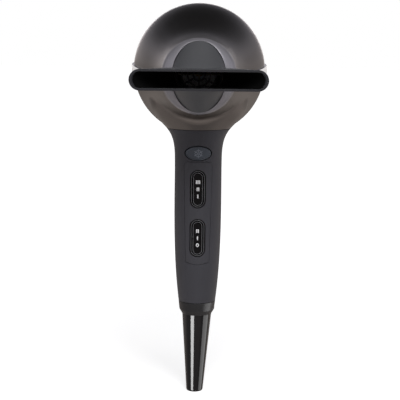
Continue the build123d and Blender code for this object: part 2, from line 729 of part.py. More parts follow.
def nozzle_roof(inset=0.0):
    """Sloping part of the nozzle, from the oval foot down to the slot height."""
    foot = oval(NOZZLE_HALF_WIDTH - inset, NOZZLE_HALF_HEIGHT - inset)
    front_oval = oval(NOZZLE_HALF_WIDTH - inset, SLOT_HALF_HEIGHT - inset)
    return loft([section_at(foot, NOZZLE_BACK_Y), section_at(front_oval, NOZZLE_ROOF_END_Y)])


def nozzle_fan(inset=0.0):
    """Flat part that spreads sideways to the slot."""
    height = SLOT_HALF_HEIGHT - inset
    narrow = SlotOverall(2 * (NOZZLE_HALF_WIDTH - inset), 2 * height)
    wide = SlotOverall(2 * (SLOT_HALF_LENGTH - inset), 2 * height)
    return loft([section_at(narrow, FAN_START_Y), section_at(wide, SLOT_Y)])


nozzle_body = (nozzle_roof() + nozzle_fan()) - nozzle_roof(NOZZLE_WALL) - nozzle_fan(NOZZLE_WALL)

# ---- heater ------------------------------------------------------------------------------------
heater_tube = tube(LINER_R, LINER_R - LINER_WALL, LINER_FRONT_Y, LINER_BACK_Y)
plate_face = MICA_THICK / 2
wide = MICA_HALF_WIDTH
mica_plate = block(-wide, wide, MICA_FRONT_Y, MICA_BACK_Y, -plate_face, plate_face)
wide = LINER_R - LINER_WALL - SEAT_GAP
mica_plate = mica_plate + block(-wide, wide, FOOT_TAB_Y, MICA_BACK_Y, -plate_face, plate_face)
mica_cross = mica_plate + Rot(0, 90, 0) * mica_plate
coil_path = Helix(pitch=COIL_PITCH, height=COIL_TURNS * COIL_PITCH, radius=COIL_R)
coil_section = Plane(origin=coil_path @ 0, z_dir=coil_path % 0) * Circle(COIL_WIRE_R)
heating_coil = sweep(coil_section, path=coil_path)
heating_coil = Pos(0, MICA_FRONT_Y + COIL_INSET, 0) * Rot(-90, 0, 0) * heating_coil
thermostat = block(*THERMOSTAT_X, *THERMOSTAT_Y, plate_face, plate_face + THERMOSTAT_HEIGHT)
fuse_z = plate_face + FUSE_R
saddle_low, saddle_high = FUSE_X - FUSE_SADDLE_HALF, FUSE_X + FUSE_SADDLE_HALF
thermal_fuse = rod(FUSE_R, *FUSE_Y, FUSE_X, fuse_z)
thermal_fuse = thermal_fuse + block(saddle_low, saddle_high, *FUSE_SADDLE_Y, plate_face, fuse_z)

# ---- ion module --------------------------------------------------------------------------------
ion_top_z = AXIS_Z - LINER_R - ION_DROP
wide = ION_HALF_WIDTH
ion_module = block(-wide, wide, *ION_Y, ion_top_z - ION_HEIGHT, ion_top_z)
wide = ION_BRACKET_HALF
bracket_top_z = AXIS_Z - LINER_R - SEAT_GAP
ion_module = ion_module + block(-wide, wide, *ION_BRACKET_Y, ion_top_z, bracket_top_z)

# ---- motor -------------------------------------------------------------------------------------
motor_can = tube(MOTOR_R, MOTOR_R - MOTOR_WALL, MOTOR_FRONT_Y, MOTOR_BACK_Y)
seat_r = BEARING_R + BEARING_SEAT_WALL
motor_can = motor_can + tube(MOTOR_R, BEARING_R, MOTOR_FRONT_Y, MOTOR_FRONT_Y + CAN_FRONT_THICK)
motor_can = motor_can + tube(seat_r, BEARING_R, MOTOR_FRONT_Y, MOTOR_FRONT_Y + BEARING_SEAT_LENGTH)
motor_end_cap = tube(MOTOR_R, BEARING_R, MOTOR_BACK_Y, MOTOR_BACK_Y + CAP_THICK)
inner_seat_y = MOTOR_BACK_Y + CAP_THICK - BEARING_SEAT_LENGTH
motor_end_cap = motor_end_cap + tube(seat_r, BEARING_R, inner_seat_y, MOTOR_BACK_Y)
bearing = tube(BEARING_R, SHAFT_R + RUN_GAP, 0, BEARING_LENGTH)
front_bearing = moved(bearing, y=MOTOR_FRONT_Y)
rear_bearing = moved(bearing, y=MOTOR_BACK_Y + CAP_THICK - BEARING_LENGTH)
motor_bearings = Compound([front_bearing, rear_bearing])
magnet = tube(MAGNET_OUTER_R, MAGNET_INNER_R, MOTOR_FRONT_Y + MAGNET_INSET, MOTOR_BACK_Y - MAGNET_INSET)
high = MAGNET_SPLIT_HALF
magnet_halves = magnet - block(-FAR, FAR, -FAR, FAR, -high, high)
motor_shaft = disc(SHAFT_R, MOTOR_FRONT_Y - SHAFT_END, IMPELLER_BACK_Y + SHAFT_END)
armature = tube(ARMATURE_R, SHAFT_R, MOTOR_FRONT_Y + ARMATURE_INSET, MOTOR_BACK_Y - ARMATURE_INSET)
high = SLOT_HALF_WIDTH
armature = armature - around(block(SLOT_FLOOR_R, FAR, -FAR, FAR, -high, high), ARMATURE_SLOTS)

# ---- fan shroud with stator vanes --------------------------------------------------------------
mount_bore = MOTOR_R + SEAT_GAP
hub_bore = mount_bore + MOUNT_WALL + SEAT_GAP
hub_r = hub_bore + HUB_WALL
mount_front_y = MOTOR_FRONT_Y + ARMATURE_INSET
mount_back_y = MOTOR_BACK_Y - ARMATURE_INSET
motor_rubber_mount = tube(hub_bore - SEAT_GAP, mount_bore, mount_front_y, mount_back_y)
shroud_bore = SHROUD_R - SHROUD_WALL
funnel_bore = LINER_R + SEAT_GAP
fan_shroud = turned(
    (shroud_bore, SHROUD_BACK_Y),
    (SHROUD_R, SHROUD_BACK_Y),
    (SHROUD_R, FUNNEL_TOP_Y + FUNNEL_WALL_RISE),
    (SHROUD_R - FUNNEL_FLARE, FUNNEL_FOOT_Y + FUNNEL_LAND),
    (funnel_bore + SHROUD_WALL, FUNNEL_FOOT_Y),
    (funnel_bore, FUNNEL_FOOT_Y),
    (funnel_bore, FUNNEL_FOOT_Y + FUNNEL_LAND),
    (shroud_bore, FUNNEL_TOP_Y + FUNNEL_WALL_RISE + SHROUD_WALL),
)
hub_front_y = mount_front_y - SHAFT_END
hub_back_y = mount_back_y + FUNNEL_LAND
stator_hub = tube(hub_r, hub_bore, hub_front_y, hub_back_y)
vane_middle = (hub_r + shroud_bore) / 2
vane = Rot(VANE_PITCH, 0, 0) * Box(shroud_bore - hub_r + 1, VANE_LENGTH, VANE_THICK)
vanes = around(Pos(vane_middle, VANE_Y, 0) * vane, STATOR_VANES, VANE_START)
root = SHROUD_WALL / 4
vane_limit = tube(shroud_bore + root, hub_r - root, hub_front_y, IMPELLER_FRONT_Y)
fan_shroud = fan_shroud + stator_hub + (vanes & vane_limit)

# ---- fan impeller ------------------------------------------------------------------------------
impeller_r = shroud_bore - IMPELLER_TIP_GAP
hub_foot = (IMPELLER_HUB_R + HUB_FLARE, IMPELLER_FRONT_Y)
hub_nose = (HUB_NOSE_R, IMPELLER_BACK_Y)
hub_curve = ThreePointArc(hub_foot, HUB_WAIST, hub_nose)
hub_rest = Polyline(hub_nose, (SHAFT_R, IMPELLER_BACK_Y), (SHAFT_R, IMPELLER_FRONT_Y), hub_foot)
impeller_hub = revolve(make_face([hub_curve, hub_rest]), Axis.Y)
blade_span = impeller_r - IMPELLER_HUB_R
blade = Rot(BLADE_PITCH, 0, 0) * Box(blade_span + 2, BLADE_LENGTH, BLADE_THICK)
blades = around(Pos(IMPELLER_HUB_R + blade_span / 2, BLADE_Y, 0) * blade, FAN_BLADES)
blade_front_y = IMPELLER_FRONT_Y + SEAT_GAP
blade_limit = tube(impeller_r, IMPELLER_HUB_R - 1, blade_front_y, IMPELLER_BACK_Y - SHAFT_END)
fan_impeller = impeller_hub + (blades & blade_limit)

# ---- rear ring ---------------------------------------------------------------------------------
rear_ring_bore = REAR_RING_R - REAR_RING_WALL
ring_back_y = BELL_REAR_Y - REAR_RING_SHORT
land_back_y = REAR_RING_FRONT_Y + REAR_RING_LAND
rear_ring = tube(REAR_RING_R, rear_ring_bore, REAR_RING_FRONT_Y, ring_back_y)
rear_ring = rear_ring + tube(rear_ring_bore, SHROUD_R + SEAT_GAP, REAR_RING_FRONT_Y, land_back_y)

# ---- filter cap --------------------------------------------------------------------------------
skirt_r = rear_ring_bore - SLIDE_GAP
skirt_bore = skirt_r - CAP_SKIRT_WALL
mesh_ledge_y = MESH_Y + MESH_THICK + SEAT_GAP
cap_curve = ThreePointArc((CAP_EDGE_R, CAP_EDGE_Y), CAP_SHOULDER, CAP_CREST)
cap_rest = Polyline(
    CAP_CREST,
    (CAP_BORE_R, CAP_CREST[1]),
    (CAP_BORE_R, mesh_ledge_y),
    (skirt_bore, mesh_ledge_y),
    (skirt_bore, CAP_SKIRT_FRONT_Y),
    (skirt_r, CAP_SKIRT_FRONT_Y),
    (skirt_r, CAP_EDGE_Y),
    (CAP_EDGE_R, CAP_EDGE_Y),
)
filter_rim = revolve(make_face([cap_curve, cap_rest]), Axis.Y)
mesh_r = skirt_bore - SEAT_GAP
filter_mesh = tube(mesh_r, mesh_r - MESH_RIM, MESH_Y - MESH_RIM_LIP, MESH_Y + MESH_THICK)
bar_count = int(mesh_r // MESH_PITCH)
mesh_bars = []
for step in range(-bar_count, bar_count + 1):
    offset_x = step * MESH_PITCH
    half_chord = sqrt(mesh_r**2 - offset_x**2) - MESH_RIM / 2
    low, high = offset_x - MESH_BAR / 2, offset_x + MESH_BAR / 2
    mesh_bars.append(block(low, high, MESH_Y, MESH_Y + MESH_THICK, -half_chord, half_chord))
    mesh_bars.append(block(-half_chord, half_chord, MESH_Y, MESH_Y + MESH_THICK, low, high))
filter_mesh = filter_mesh.fuse(*mesh_bars)

rear_bore = CAP_BORE_R - SEAT_GAP
rim_bore = rear_bore - REAR_GRILLE_RIM


def dome_y(radius):
    """Front face of the domed rear grille at one radius."""
    return REAR_GRILLE_Y + REAR_GRILLE_DOME * (1 - (radius / rear_bore) ** 2)


grille_rings = []
ring_pitch = rim_bore / (REAR_GRILLE_RINGS + 1)
wire = REAR_GRILLE_WIRE / 2
for step in range(1, REAR_GRILLE_RINGS + 1):
    radius = step * ring_pitch
    front = dome_y(radius)
    grille_rings.append(tube(radius + wire, radius - wire, front, front + REAR_GRILLE_THICK))
edge_ring = tube(rear_bore, rim_bore, REAR_GRILLE_Y, REAR_GRILLE_Y + REAR_GRILLE_THICK)
hub_disc = disc(REAR_GRILLE_HUB_R, dome_y(0), dome_y(0) + REAR_GRILLE_THICK)
rib_end = (rim_bore + REAR_GRILLE_RIM / 2, REAR_GRILLE_Y)
rib_middle = (rear_bore / 2, dome_y(rear_bore / 2))
rib_top = (0, dome_y(0))
thick = Pos(0, REAR_GRILLE_THICK)
rib_low = ThreePointArc(rib_top, rib_middle, rib_end)
rib_high = thick * rib_low
rib_sides = [Line(rib_low @ 0, rib_high @ 0), Line(rib_low @ 1, rib_high @ 1)]
rib = extrude(make_face([rib_low, rib_high, *rib_sides]), RIB_HALF_THICK, both=True)
rear_grille = edge_ring.fuse(hub_disc, *grille_rings)
rear_grille = rear_grille + around(rib, REAR_GRILLE_RIBS)

# ---- foot collar and cord sleeve ---------------------------------------------------------------
def foot_oval(z, shrink):
    return Plane.XY.offset(z) * Pos(0, foot_centre) * Ellipse(foot_half - shrink, foot_depth - shrink)


foot_top_z = GRIP_FOOT_Z - SEAT_GAP
collar_upper = loft([foot_oval(foot_top_z, 0.0), foot_oval(FOOT_CHAMFER_Z, FOOT_TAPER)])
collar_lower = loft([foot_oval(FOOT_CHAMFER_Z, FOOT_TAPER), foot_oval(FOOT_FLOOR_Z, FOOT_CHAMFER)])
cord_collar = collar_upper + collar_lower
cord_collar = cord_collar - extrude(foot_oval(FOOT_FLOOR_Z + FOOT_FLOOR, FOOT_WALL), OVERRUN)
spigot_z = foot_top_z - 1
foot_spigot = foot_oval(spigot_z, WALL + SEAT_GAP) - foot_oval(spigot_z, FOOT_WALL + SEAT_GAP)
cord_collar = cord_collar + extrude(foot_spigot, FOOT_SPIGOT_HEIGHT)
neck_bore = Pos(0, foot_centre, FOOT_FLOOR_Z) * Cylinder(SWIVEL_NECK_R + RUN_GAP, 4 * FOOT_FLOOR)
cord_collar = cord_collar - neck_bore

sleeve_top_z = FOOT_FLOOR_Z - SEAT_GAP
sleeve_end_z = sleeve_top_z - SLEEVE_LENGTH
sleeve_top = Plane.XY.offset(sleeve_top_z) * Pos(0, foot_centre) * Circle(SLEEVE_TOP_R)
sleeve_end = Plane.XY.offset(sleeve_end_z) * Pos(SLEEVE_LEAN, foot_centre) * Circle(SLEEVE_END_R)
cord_sleeve = loft([sleeve_top, sleeve_end])
end_edge = cord_sleeve.edges().sort_by(Axis.Z)[0]
cord_sleeve = fillet(end_edge, SLEEVE_END_ROUND)
neck_length = SWIVEL_NECK_TOP_Z - sleeve_top_z
neck = Pos(0, foot_centre, sleeve_top_z + neck_length / 2) * Cylinder(SWIVEL_NECK_R, neck_length)
clip_z = FOOT_FLOOR_Z + FOOT_FLOOR + SEAT_GAP
clip_groove_r = SWIVEL_NECK_R - CLIP_GROOVE_DEPTH
groove_height = CLIP_THICK + 2 * RUN_GAP
groove_ring = Cylinder(SWIVEL_NECK_R + 1, groove_height) - Cylinder(clip_groove_r, groove_height)
cord_sleeve = cord_sleeve + neck - Pos(0, foot_centre, clip_z + CLIP_THICK / 2) * groove_ring
bore = Cylinder(CORD_BORE_R, SLEEVE_LENGTH)
cord_sleeve = cord_sleeve - Pos(0, foot_centre, sleeve_top_z) * bore
lower_bore = Pos(SLEEVE_LEAN, foot_centre, sleeve_end_z + SLEEVE_LENGTH / 6) * bore
cord_sleeve = cord_sleeve - lower_bore
clip = Cylinder(CLIP_R, CLIP_THICK) - Cylinder(clip_groove_r + RUN_GAP, CLIP_THICK)
retaining_ring = Pos(0, foot_centre, clip_z + CLIP_THICK / 2) * clip

# ---- cord clamp and internal leads -------------------------------------------------------------
def lead_pair(z0, z1, grow=0.0):
    """Two straight supply leads."""
    middle = (z0 + z1) / 2
    one = Pos(LEAD_X, LEAD_Y, middle) * Cylinder(LEAD_R + grow, z1 - z0)
    return one + mirror(one, Plane.YZ)


supply_leads = lead_pair(CLAMP_FOOT_Z - LEAD_TAIL, LEAD_TOP_Z)
deep = CLAMP_HALF_DEPTH
cord_clamp = block(-FAR, FAR, -deep, deep, CLAMP_FOOT_Z, CLAMP_TOP_Z) & grip_solid(WALL + SEAT_GAP)
cord_clamp = cord_clamp - lead_pair(CLAMP_FOOT_Z - LEAD_TAIL, CLAMP_TOP_Z + LEAD_TAIL, RUN_GAP)
heater_end_z = AXIS_Z - sqrt(LINER_R**2 - HEATER_LEAD_X**2) - 2 * SEAT_GAP
lead_path = Spline(
    (HEATER_LEAD_X, HEATER_LEAD_START_Y, BOARD_TOP_Z + LEAD_R + SEAT_GAP),
    (HEATER_LEAD_X, *HEATER_LEAD_KNEE),
    (HEATER_LEAD_X, *HEATER_LEAD_BEND),
    (HEATER_LEAD_X, HEATER_LEAD_END_Y, heater_end_z),
)
lead_section = Plane(origin=lead_path @ 0, z_dir=lead_path % 0) * Circle(LEAD_R)
heater_lead = sweep(lead_section, path=lead_path)
heater_leads = Compound([heater_lead, mirror(heater_lead, Plane.YZ)])

# ---- screws ------------------------------------------------------------------------------------
screws = []
head_y = SCREW_SEAT_Y + SEAT_GAP
for x, z in SCREW_PLACES:
    shank = rod(SCREW_R - RUN_GAP, SCREW_TIP_Y, head_y, x, z)
    head = rod(SCREW_HEAD_R, head_y, head_y + SCREW_HEAD_HEIGHT, x, z)
    head_top_y = head_y + SCREW_HEAD_HEIGHT
    drive = rod(SCREW_DRIVE_R, head_top_y - SCREW_DRIVE_DEPTH, head_top_y, x, z)
    screws.append(shank + head - drive)

# ---- write the pieces --------------------------------------------------------------------------
os.makedirs("parts", exist_ok=True)
save("head_shell", head_shell)
save("side_trim_right", trim_right)
save("side_trim_left", trim_left)
save("grip_front_shell", grip_front)
save("grip_rear_shell", grip_rear)
save("control_panel", control_panel)
save("heat_bezel", bezel(HEAT_Z))
save("speed_bezel", bezel(SPEED_Z))
save("heat_rocker", rocker(HEAT_Z))
save("speed_rocker", rocker(SPEED_Z))
save("heat_marks", Compound(heat_strokes))
save("speed_marks", Compound(speed_strokes))
save("heat_switch_body", switch_body(HEAT_Z))
save("speed_switch_body", switch_body(SPEED_Z))
save("cool_shot_button", cool_button)
save("cool_shot_spring", cool_spring)
save("cool_shot_switch", micro_switch)
save("circuit_board", board)
save("board_components", Compound(board_parts))
save("outlet_ring", barrel(outlet_ring))
save("outlet_grille", barrel(outlet_grille))
save("nozzle_sleeve", barrel(nozzle_sleeve))
save("nozzle_collar", barrel(nozzle_collar))
save("nozzle_body", barrel(nozzle_body))
save("heater_tube", barrel(heater_tube))
save("mica_cross", barrel(mica_cross))
save("heating_coil", barrel(heating_coil))
save("thermostat", barrel(thermostat))
save("thermal_fuse", barrel(thermal_fuse))
save("ion_module", ion_module)
save("motor_can", barrel(motor_can))
save("motor_end_cap", barrel(motor_end_cap))
save("motor_bearings", barrel(motor_bearings))
save("motor_magnets", barrel(magnet_halves))
save("motor_shaft", barrel(motor_shaft))
save("motor_armature", barrel(armature))
save("motor_rubber_mount", barrel(motor_rubber_mount))
save("fan_shroud", barrel(fan_shroud))
save("fan_impeller", barrel(fan_impeller))
save("rear_ring", barrel(rear_ring))
save("filter_rim", barrel(filter_rim))
save("filter_mesh", barrel(filter_mesh))
save("rear_grille", barrel(rear_grille))
save("cord_collar", cord_collar)
save("cord_sleeve", cord_sleeve)
save("sleeve_retaining_ring", retaining_ring)
save("grip_screws", Compound(screws))
save("cord_clamp", cord_clamp)
save("supply_leads", supply_leads)
save("heater_leads", heater_leads)
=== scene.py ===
# %% [markdown]
# # A hair dryer, dressed around its CAD frame
# The frame holds every solid of the dryer at its true size: head shell, grip shells, nozzle,
# switches, motor, fan and filter cap. This lesson loads that frame, gives each surface the finish
# of the real thing, and adds the small forms that are easier to model in Blender than in CAD.

import json
import math

import bmesh
import bpy
from mathutils import Matrix, Vector


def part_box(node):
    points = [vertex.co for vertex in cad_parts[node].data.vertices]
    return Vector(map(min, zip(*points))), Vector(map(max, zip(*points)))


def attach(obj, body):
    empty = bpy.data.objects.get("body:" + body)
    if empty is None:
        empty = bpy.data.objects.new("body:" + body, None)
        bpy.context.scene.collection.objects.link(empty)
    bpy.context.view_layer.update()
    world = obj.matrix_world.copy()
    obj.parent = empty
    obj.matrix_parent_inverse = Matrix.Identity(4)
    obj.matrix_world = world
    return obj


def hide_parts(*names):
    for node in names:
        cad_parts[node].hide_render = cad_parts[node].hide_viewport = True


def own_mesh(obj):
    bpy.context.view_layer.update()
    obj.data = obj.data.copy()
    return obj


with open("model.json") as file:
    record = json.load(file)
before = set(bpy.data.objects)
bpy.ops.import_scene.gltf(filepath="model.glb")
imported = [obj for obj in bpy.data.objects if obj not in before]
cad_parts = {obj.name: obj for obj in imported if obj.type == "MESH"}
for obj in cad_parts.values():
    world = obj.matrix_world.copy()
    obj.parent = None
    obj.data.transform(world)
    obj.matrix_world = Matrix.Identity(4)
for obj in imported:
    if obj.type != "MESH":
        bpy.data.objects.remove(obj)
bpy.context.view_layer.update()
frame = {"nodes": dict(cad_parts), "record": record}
NODES = frame["nodes"]

# %% [markdown]
# ## Units and places
# Blender works in metres here, and the dryer is easier to read in millimetres, so one small helper
# turns millimetres into metres. The barrel axis lies 96 mm above the grip centre, and air leaves
# towards -Y.

# %% units
MM = 0.001
AXIS_Z = 96.0 * MM
FLOOR_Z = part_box("cord_sleeve")[0][2]


def mm(*values):
    """Millimetres to a metre vector."""
    return Vector([v * MM for v in values])


print("floor at", round(FLOOR_Z, 4))

# %% [markdown]
# ## Shared effects for the finishes
# Plastic parts look real through small, uneven things: a fine moulded grain, slow cloudy changes
# of gloss, faint scuffs and dust, and tiny flakes in the pearl paint. Each effect is a node group
# with named inputs, built once, so that every material can use it with its own numbers. A group
# gives out only values, and the shader stays in the material.

# %% a helper that starts a shader group


def new_group(name, inputs, outputs):
    """Shader node group with float inputs (name, default) and outputs (name, socket type)."""
    group = bpy.data.node_groups.new(name, "ShaderNodeTree")
    for label, value in inputs:
        socket = group.interface.new_socket(label, in_out="INPUT", socket_type="NodeSocketFloat")
        socket.default_value = value
    for label, kind in outputs:
        group.interface.new_socket(label, in_out="OUTPUT", socket_type=kind)
    start = group.nodes.new("NodeGroupInput")
    end = group.nodes.new("NodeGroupOutput")
    return group, start, end


def math_node(tree, operation, first, second, clamp=False):
    """Math node whose two inputs are sockets or numbers; gives its output socket."""
    node = tree.nodes.new("ShaderNodeMath")
    node.operation = operation
    node.use_clamp = clamp
    for socket, value in zip(node.inputs, (first, second)):
        if isinstance(value, (int, float)):
            socket.default_value = value
        else:
            tree.links.new(value, socket)
    return node.outputs[0]


def noise(tree, vector, scale, detail=3.0, roughness=0.5):
    """Noise texture; scale is a number or a socket. Gives the node."""
    node = tree.nodes.new("ShaderNodeTexNoise")
    node.inputs["Detail"].default_value = detail
    node.inputs["Roughness"].default_value = roughness
    tree.links.new(vector, node.inputs["Vector"])
    if isinstance(scale, (int, float)):
        node.inputs["Scale"].default_value = scale
    else:
        tree.links.new(scale, node.inputs["Scale"])
    return node


# %% [markdown]
# ### Moulded grain
# A moulded plastic face carries the texture of its steel mould: bumps of a tenth of a millimetre
# or two. Noise on Object coordinates gives that. The same group also gives slow cloudy patches,
# a few centimetres across, which vary colour and gloss a little so that no face is one flat value.

# %% moulded grain group
grain_group, start, end = new_group(
    "moulded_grain",
    (("Grain Scale", 4000.0), ("Cloud Scale", 45.0)),
    (("Grain", "NodeSocketFloat"), ("Cloud", "NodeSocketFloat")),
)
place = grain_group.nodes.new("ShaderNodeTexCoord").outputs["Object"]
fine = noise(grain_group, place, start.outputs["Grain Scale"], 4.0, 0.6)
cloud = noise(grain_group, place, start.outputs["Cloud Scale"], 3.0, 0.55)
grain_group.links.new(fine.outputs["Fac"], end.inputs["Grain"])
grain_group.links.new(cloud.outputs["Fac"], end.inputs["Cloud"])
print("group", grain_group.name)

# %% [markdown]
# ### Pearl flakes
# Pearl paint holds mica flakes of a twentieth of a millimetre, each tilted its own way. Voronoi
# cells stand for the flakes: each cell has a random value, which nudges the colour.

# %% pearl flake group
flake_group, start, end = new_group(
    "pearl_flakes",
    (("Flake Scale", 9000.0),),
    (("Flake", "NodeSocketFloat"),),
)
place = flake_group.nodes.new("ShaderNodeTexCoord").outputs["Object"]
cells = flake_group.nodes.new("ShaderNodeTexVoronoi")
flake_group.links.new(place, cells.inputs["Vector"])
flake_group.links.new(start.outputs["Flake Scale"], cells.inputs["Scale"])
split = flake_group.nodes.new("ShaderNodeSeparateColor")
flake_group.links.new(cells.outputs["Color"], split.inputs["Color"])
flake_group.links.new(split.outputs["Red"], end.inputs["Flake"])
print("group", flake_group.name)

# %% [markdown]
# ### Wear and dust
# Faces that hands and shelves rub become a touch lighter, and dust settles where they look up.
# Pointiness could find the edges, but it needs a dense mesh. Here a broken noise mask stands for
# faint scuffs, and the upward part of the normal for dust.

# %% wear and dust group
SCUFF_STRETCH = (1.0, 0.35, 0.35)
SCUFF_THRESHOLD = 0.58
SCUFF_CONTRAST = 6.0
SPECK_SCALE = 900.0
wear_group, start, end = new_group(
    "scuffs_and_dust",
    (("Scuff Scale", 260.0), ("Scuff Amount", 0.3), ("Dust Amount", 0.2)),
    (("Scuff", "NodeSocketFloat"), ("Dust", "NodeSocketFloat")),
)
place = wear_group.nodes.new("ShaderNodeTexCoord").outputs["Object"]
stretch = wear_group.nodes.new("ShaderNodeMapping")
stretch.inputs["Scale"].default_value = SCUFF_STRETCH
wear_group.links.new(place, stretch.inputs["Vector"])
scuff_noise = noise(wear_group, stretch.outputs["Vector"], start.outputs["Scuff Scale"], 6.0, 0.7)
sharp = math_node(wear_group, "SUBTRACT", scuff_noise.outputs["Fac"], SCUFF_THRESHOLD)
sharp = math_node(wear_group, "MULTIPLY", sharp, SCUFF_CONTRAST, clamp=True)
scuff = math_node(wear_group, "MULTIPLY", sharp, start.outputs["Scuff Amount"])
wear_group.links.new(scuff, end.inputs["Scuff"])
facing = wear_group.nodes.new("ShaderNodeNewGeometry")
split = wear_group.nodes.new("ShaderNodeSeparateXYZ")
wear_group.links.new(facing.outputs["Normal"], split.inputs["Vector"])
upward = math_node(wear_group, "MAXIMUM", split.outputs["Z"], 0.0)
upward = math_node(wear_group, "POWER", upward, 2.0)
speck = noise(wear_group, place, SPECK_SCALE, 5.0, 0.7)
dusty = math_node(wear_group, "MULTIPLY", upward, speck.outputs["Fac"])
dust = math_node(wear_group, "MULTIPLY", dusty, start.outputs["Dust Amount"])
wear_group.links.new(dust, end.inputs["Dust"])
print("group", wear_group.name)

# %% [markdown]
# ## One maker for the plastic and metal finishes
# Most finishes differ only in colour, gloss, grain and how much they vary. One function builds
# them: two close colours are mixed by the cloud mask, scuffs lift the colour a little, dust lifts
# it more, roughness follows the cloud and the dust, and the grain goes to a Bump node.

# %% finish maker
DUST_COLOUR = (0.45, 0.43, 0.4)
FLAKE_LIFT = 0.02
RUB_GAIN = 1.6
RUB_LIFT = 0.01
BEVEL_SAMPLES = 4


def mix_colour(tree, factor, first, second):
    """Mix two colours (tuples or sockets) by a factor socket."""
    node = tree.nodes.new("ShaderNodeMix")
    node.data_type = "RGBA"
    tree.links.new(factor, node.inputs["Factor"])
    for socket, value in ((node.inputs["A"], first), (node.inputs["B"], second)):
        if isinstance(value, tuple):
            socket.default_value = (*value, 1.0)
        else:
            tree.links.new(value, socket)
    return node.outputs["Result"]


def place_group(tree, group, **values):
    """Node that holds a group, its inputs set by name."""
    node = tree.nodes.new("ShaderNodeGroup")
    node.node_tree = group
    for label, value in values.items():
        node.inputs[label.replace("_", " ")].default_value = value
    return node


def finish(
    name,
    colour,
    roughness,
    metallic=0.0,
    spread=0.18,
    rough_spread=0.06,
    grain=4000.0,
    grain_depth=0.00002,
    bump=0.3,
    cloud=45.0,
    scuff=0.25,
    dust=0.12,
    coat=0.0,
    coat_roughness=0.08,
    sheen=0.0,
    flakes=0.0,
    specular=0.5,
    edge=0.0,
):
    """Procedural material for one finish."""
    material = bpy.data.materials.new(name)
    material.use_nodes = True
    tree = material.node_tree
    shader = tree.nodes["Principled BSDF"]
    moulded = place_group(tree, grain_group, Grain_Scale=grain, Cloud_Scale=cloud)
    worn = place_group(tree, wear_group, Scuff_Amount=scuff, Dust_Amount=dust)
    low = tuple(c * (1 - spread) for c in colour)
    high = tuple(min(1.0, c * (1 + spread)) for c in colour)
    base = mix_colour(tree, moulded.outputs["Cloud"], low, high)
    if flakes:
        pearl = place_group(tree, flake_group)
        lit = tuple(min(1.0, c * (1 + flakes) + FLAKE_LIFT) for c in colour)
        amount = math_node(tree, "MULTIPLY", pearl.outputs["Flake"], 0.5)
        base = mix_colour(tree, amount, base, lit)
    rubbed = tuple(min(1.0, c * RUB_GAIN + RUB_LIFT) for c in colour)
    base = mix_colour(tree, worn.outputs["Scuff"], base, rubbed)
    base = mix_colour(tree, worn.outputs["Dust"], base, DUST_COLOUR)
    tree.links.new(base, shader.inputs["Base Color"])
    swing = math_node(tree, "SUBTRACT", moulded.outputs["Cloud"], 0.5)
    rough = math_node(tree, "MULTIPLY_ADD", swing, rough_spread)
    rough.node.inputs[2].default_value = roughness
    rough = math_node(tree, "ADD", rough, math_node(tree, "MULTIPLY", worn.outputs["Dust"], 0.5))
    tree.links.new(rough, shader.inputs["Roughness"])
    shader.inputs["Metallic"].default_value = metallic
    shader.inputs["Coat Weight"].default_value = coat
    shader.inputs["Coat Roughness"].default_value = coat_roughness
    shader.inputs["Sheen Weight"].default_value = sheen
    shader.inputs["Specular IOR Level"].default_value = specular
    relief = tree.nodes.new("ShaderNodeBump")
    relief.inputs["Strength"].default_value = bump
    relief.inputs["Distance"].default_value = grain_depth
    tree.links.new(moulded.outputs["Grain"], relief.inputs["Height"])
    tree.links.new(relief.outputs["Normal"], shader.inputs["Normal"])
    if edge:
        softened = tree.nodes.new("ShaderNodeBevel")
        softened.samples = BEVEL_SAMPLES
        softened.inputs["Radius"].default_value = edge
        tree.links.new(softened.outputs["Normal"], relief.inputs["Normal"])
    return material


# %% [markdown]
# ## The finishes of this dryer
# - Head: graphite pearl paint, half gloss, with a thin clear coat over fine flakes.
# - Grip: charcoal soft-touch paint, matte, with a faint sheen.
# - Nozzle: fine-grained matte plastic, a little lighter than the grip, with a satin pearl collar.
# - Rockers, bezels and cord sleeve: black high-gloss plastic. The foot collar is satin black.
# - Side trims: bright chrome.
# Inside there are mica, resistance wire, steel, bronze, ferrite and plain black mouldings.

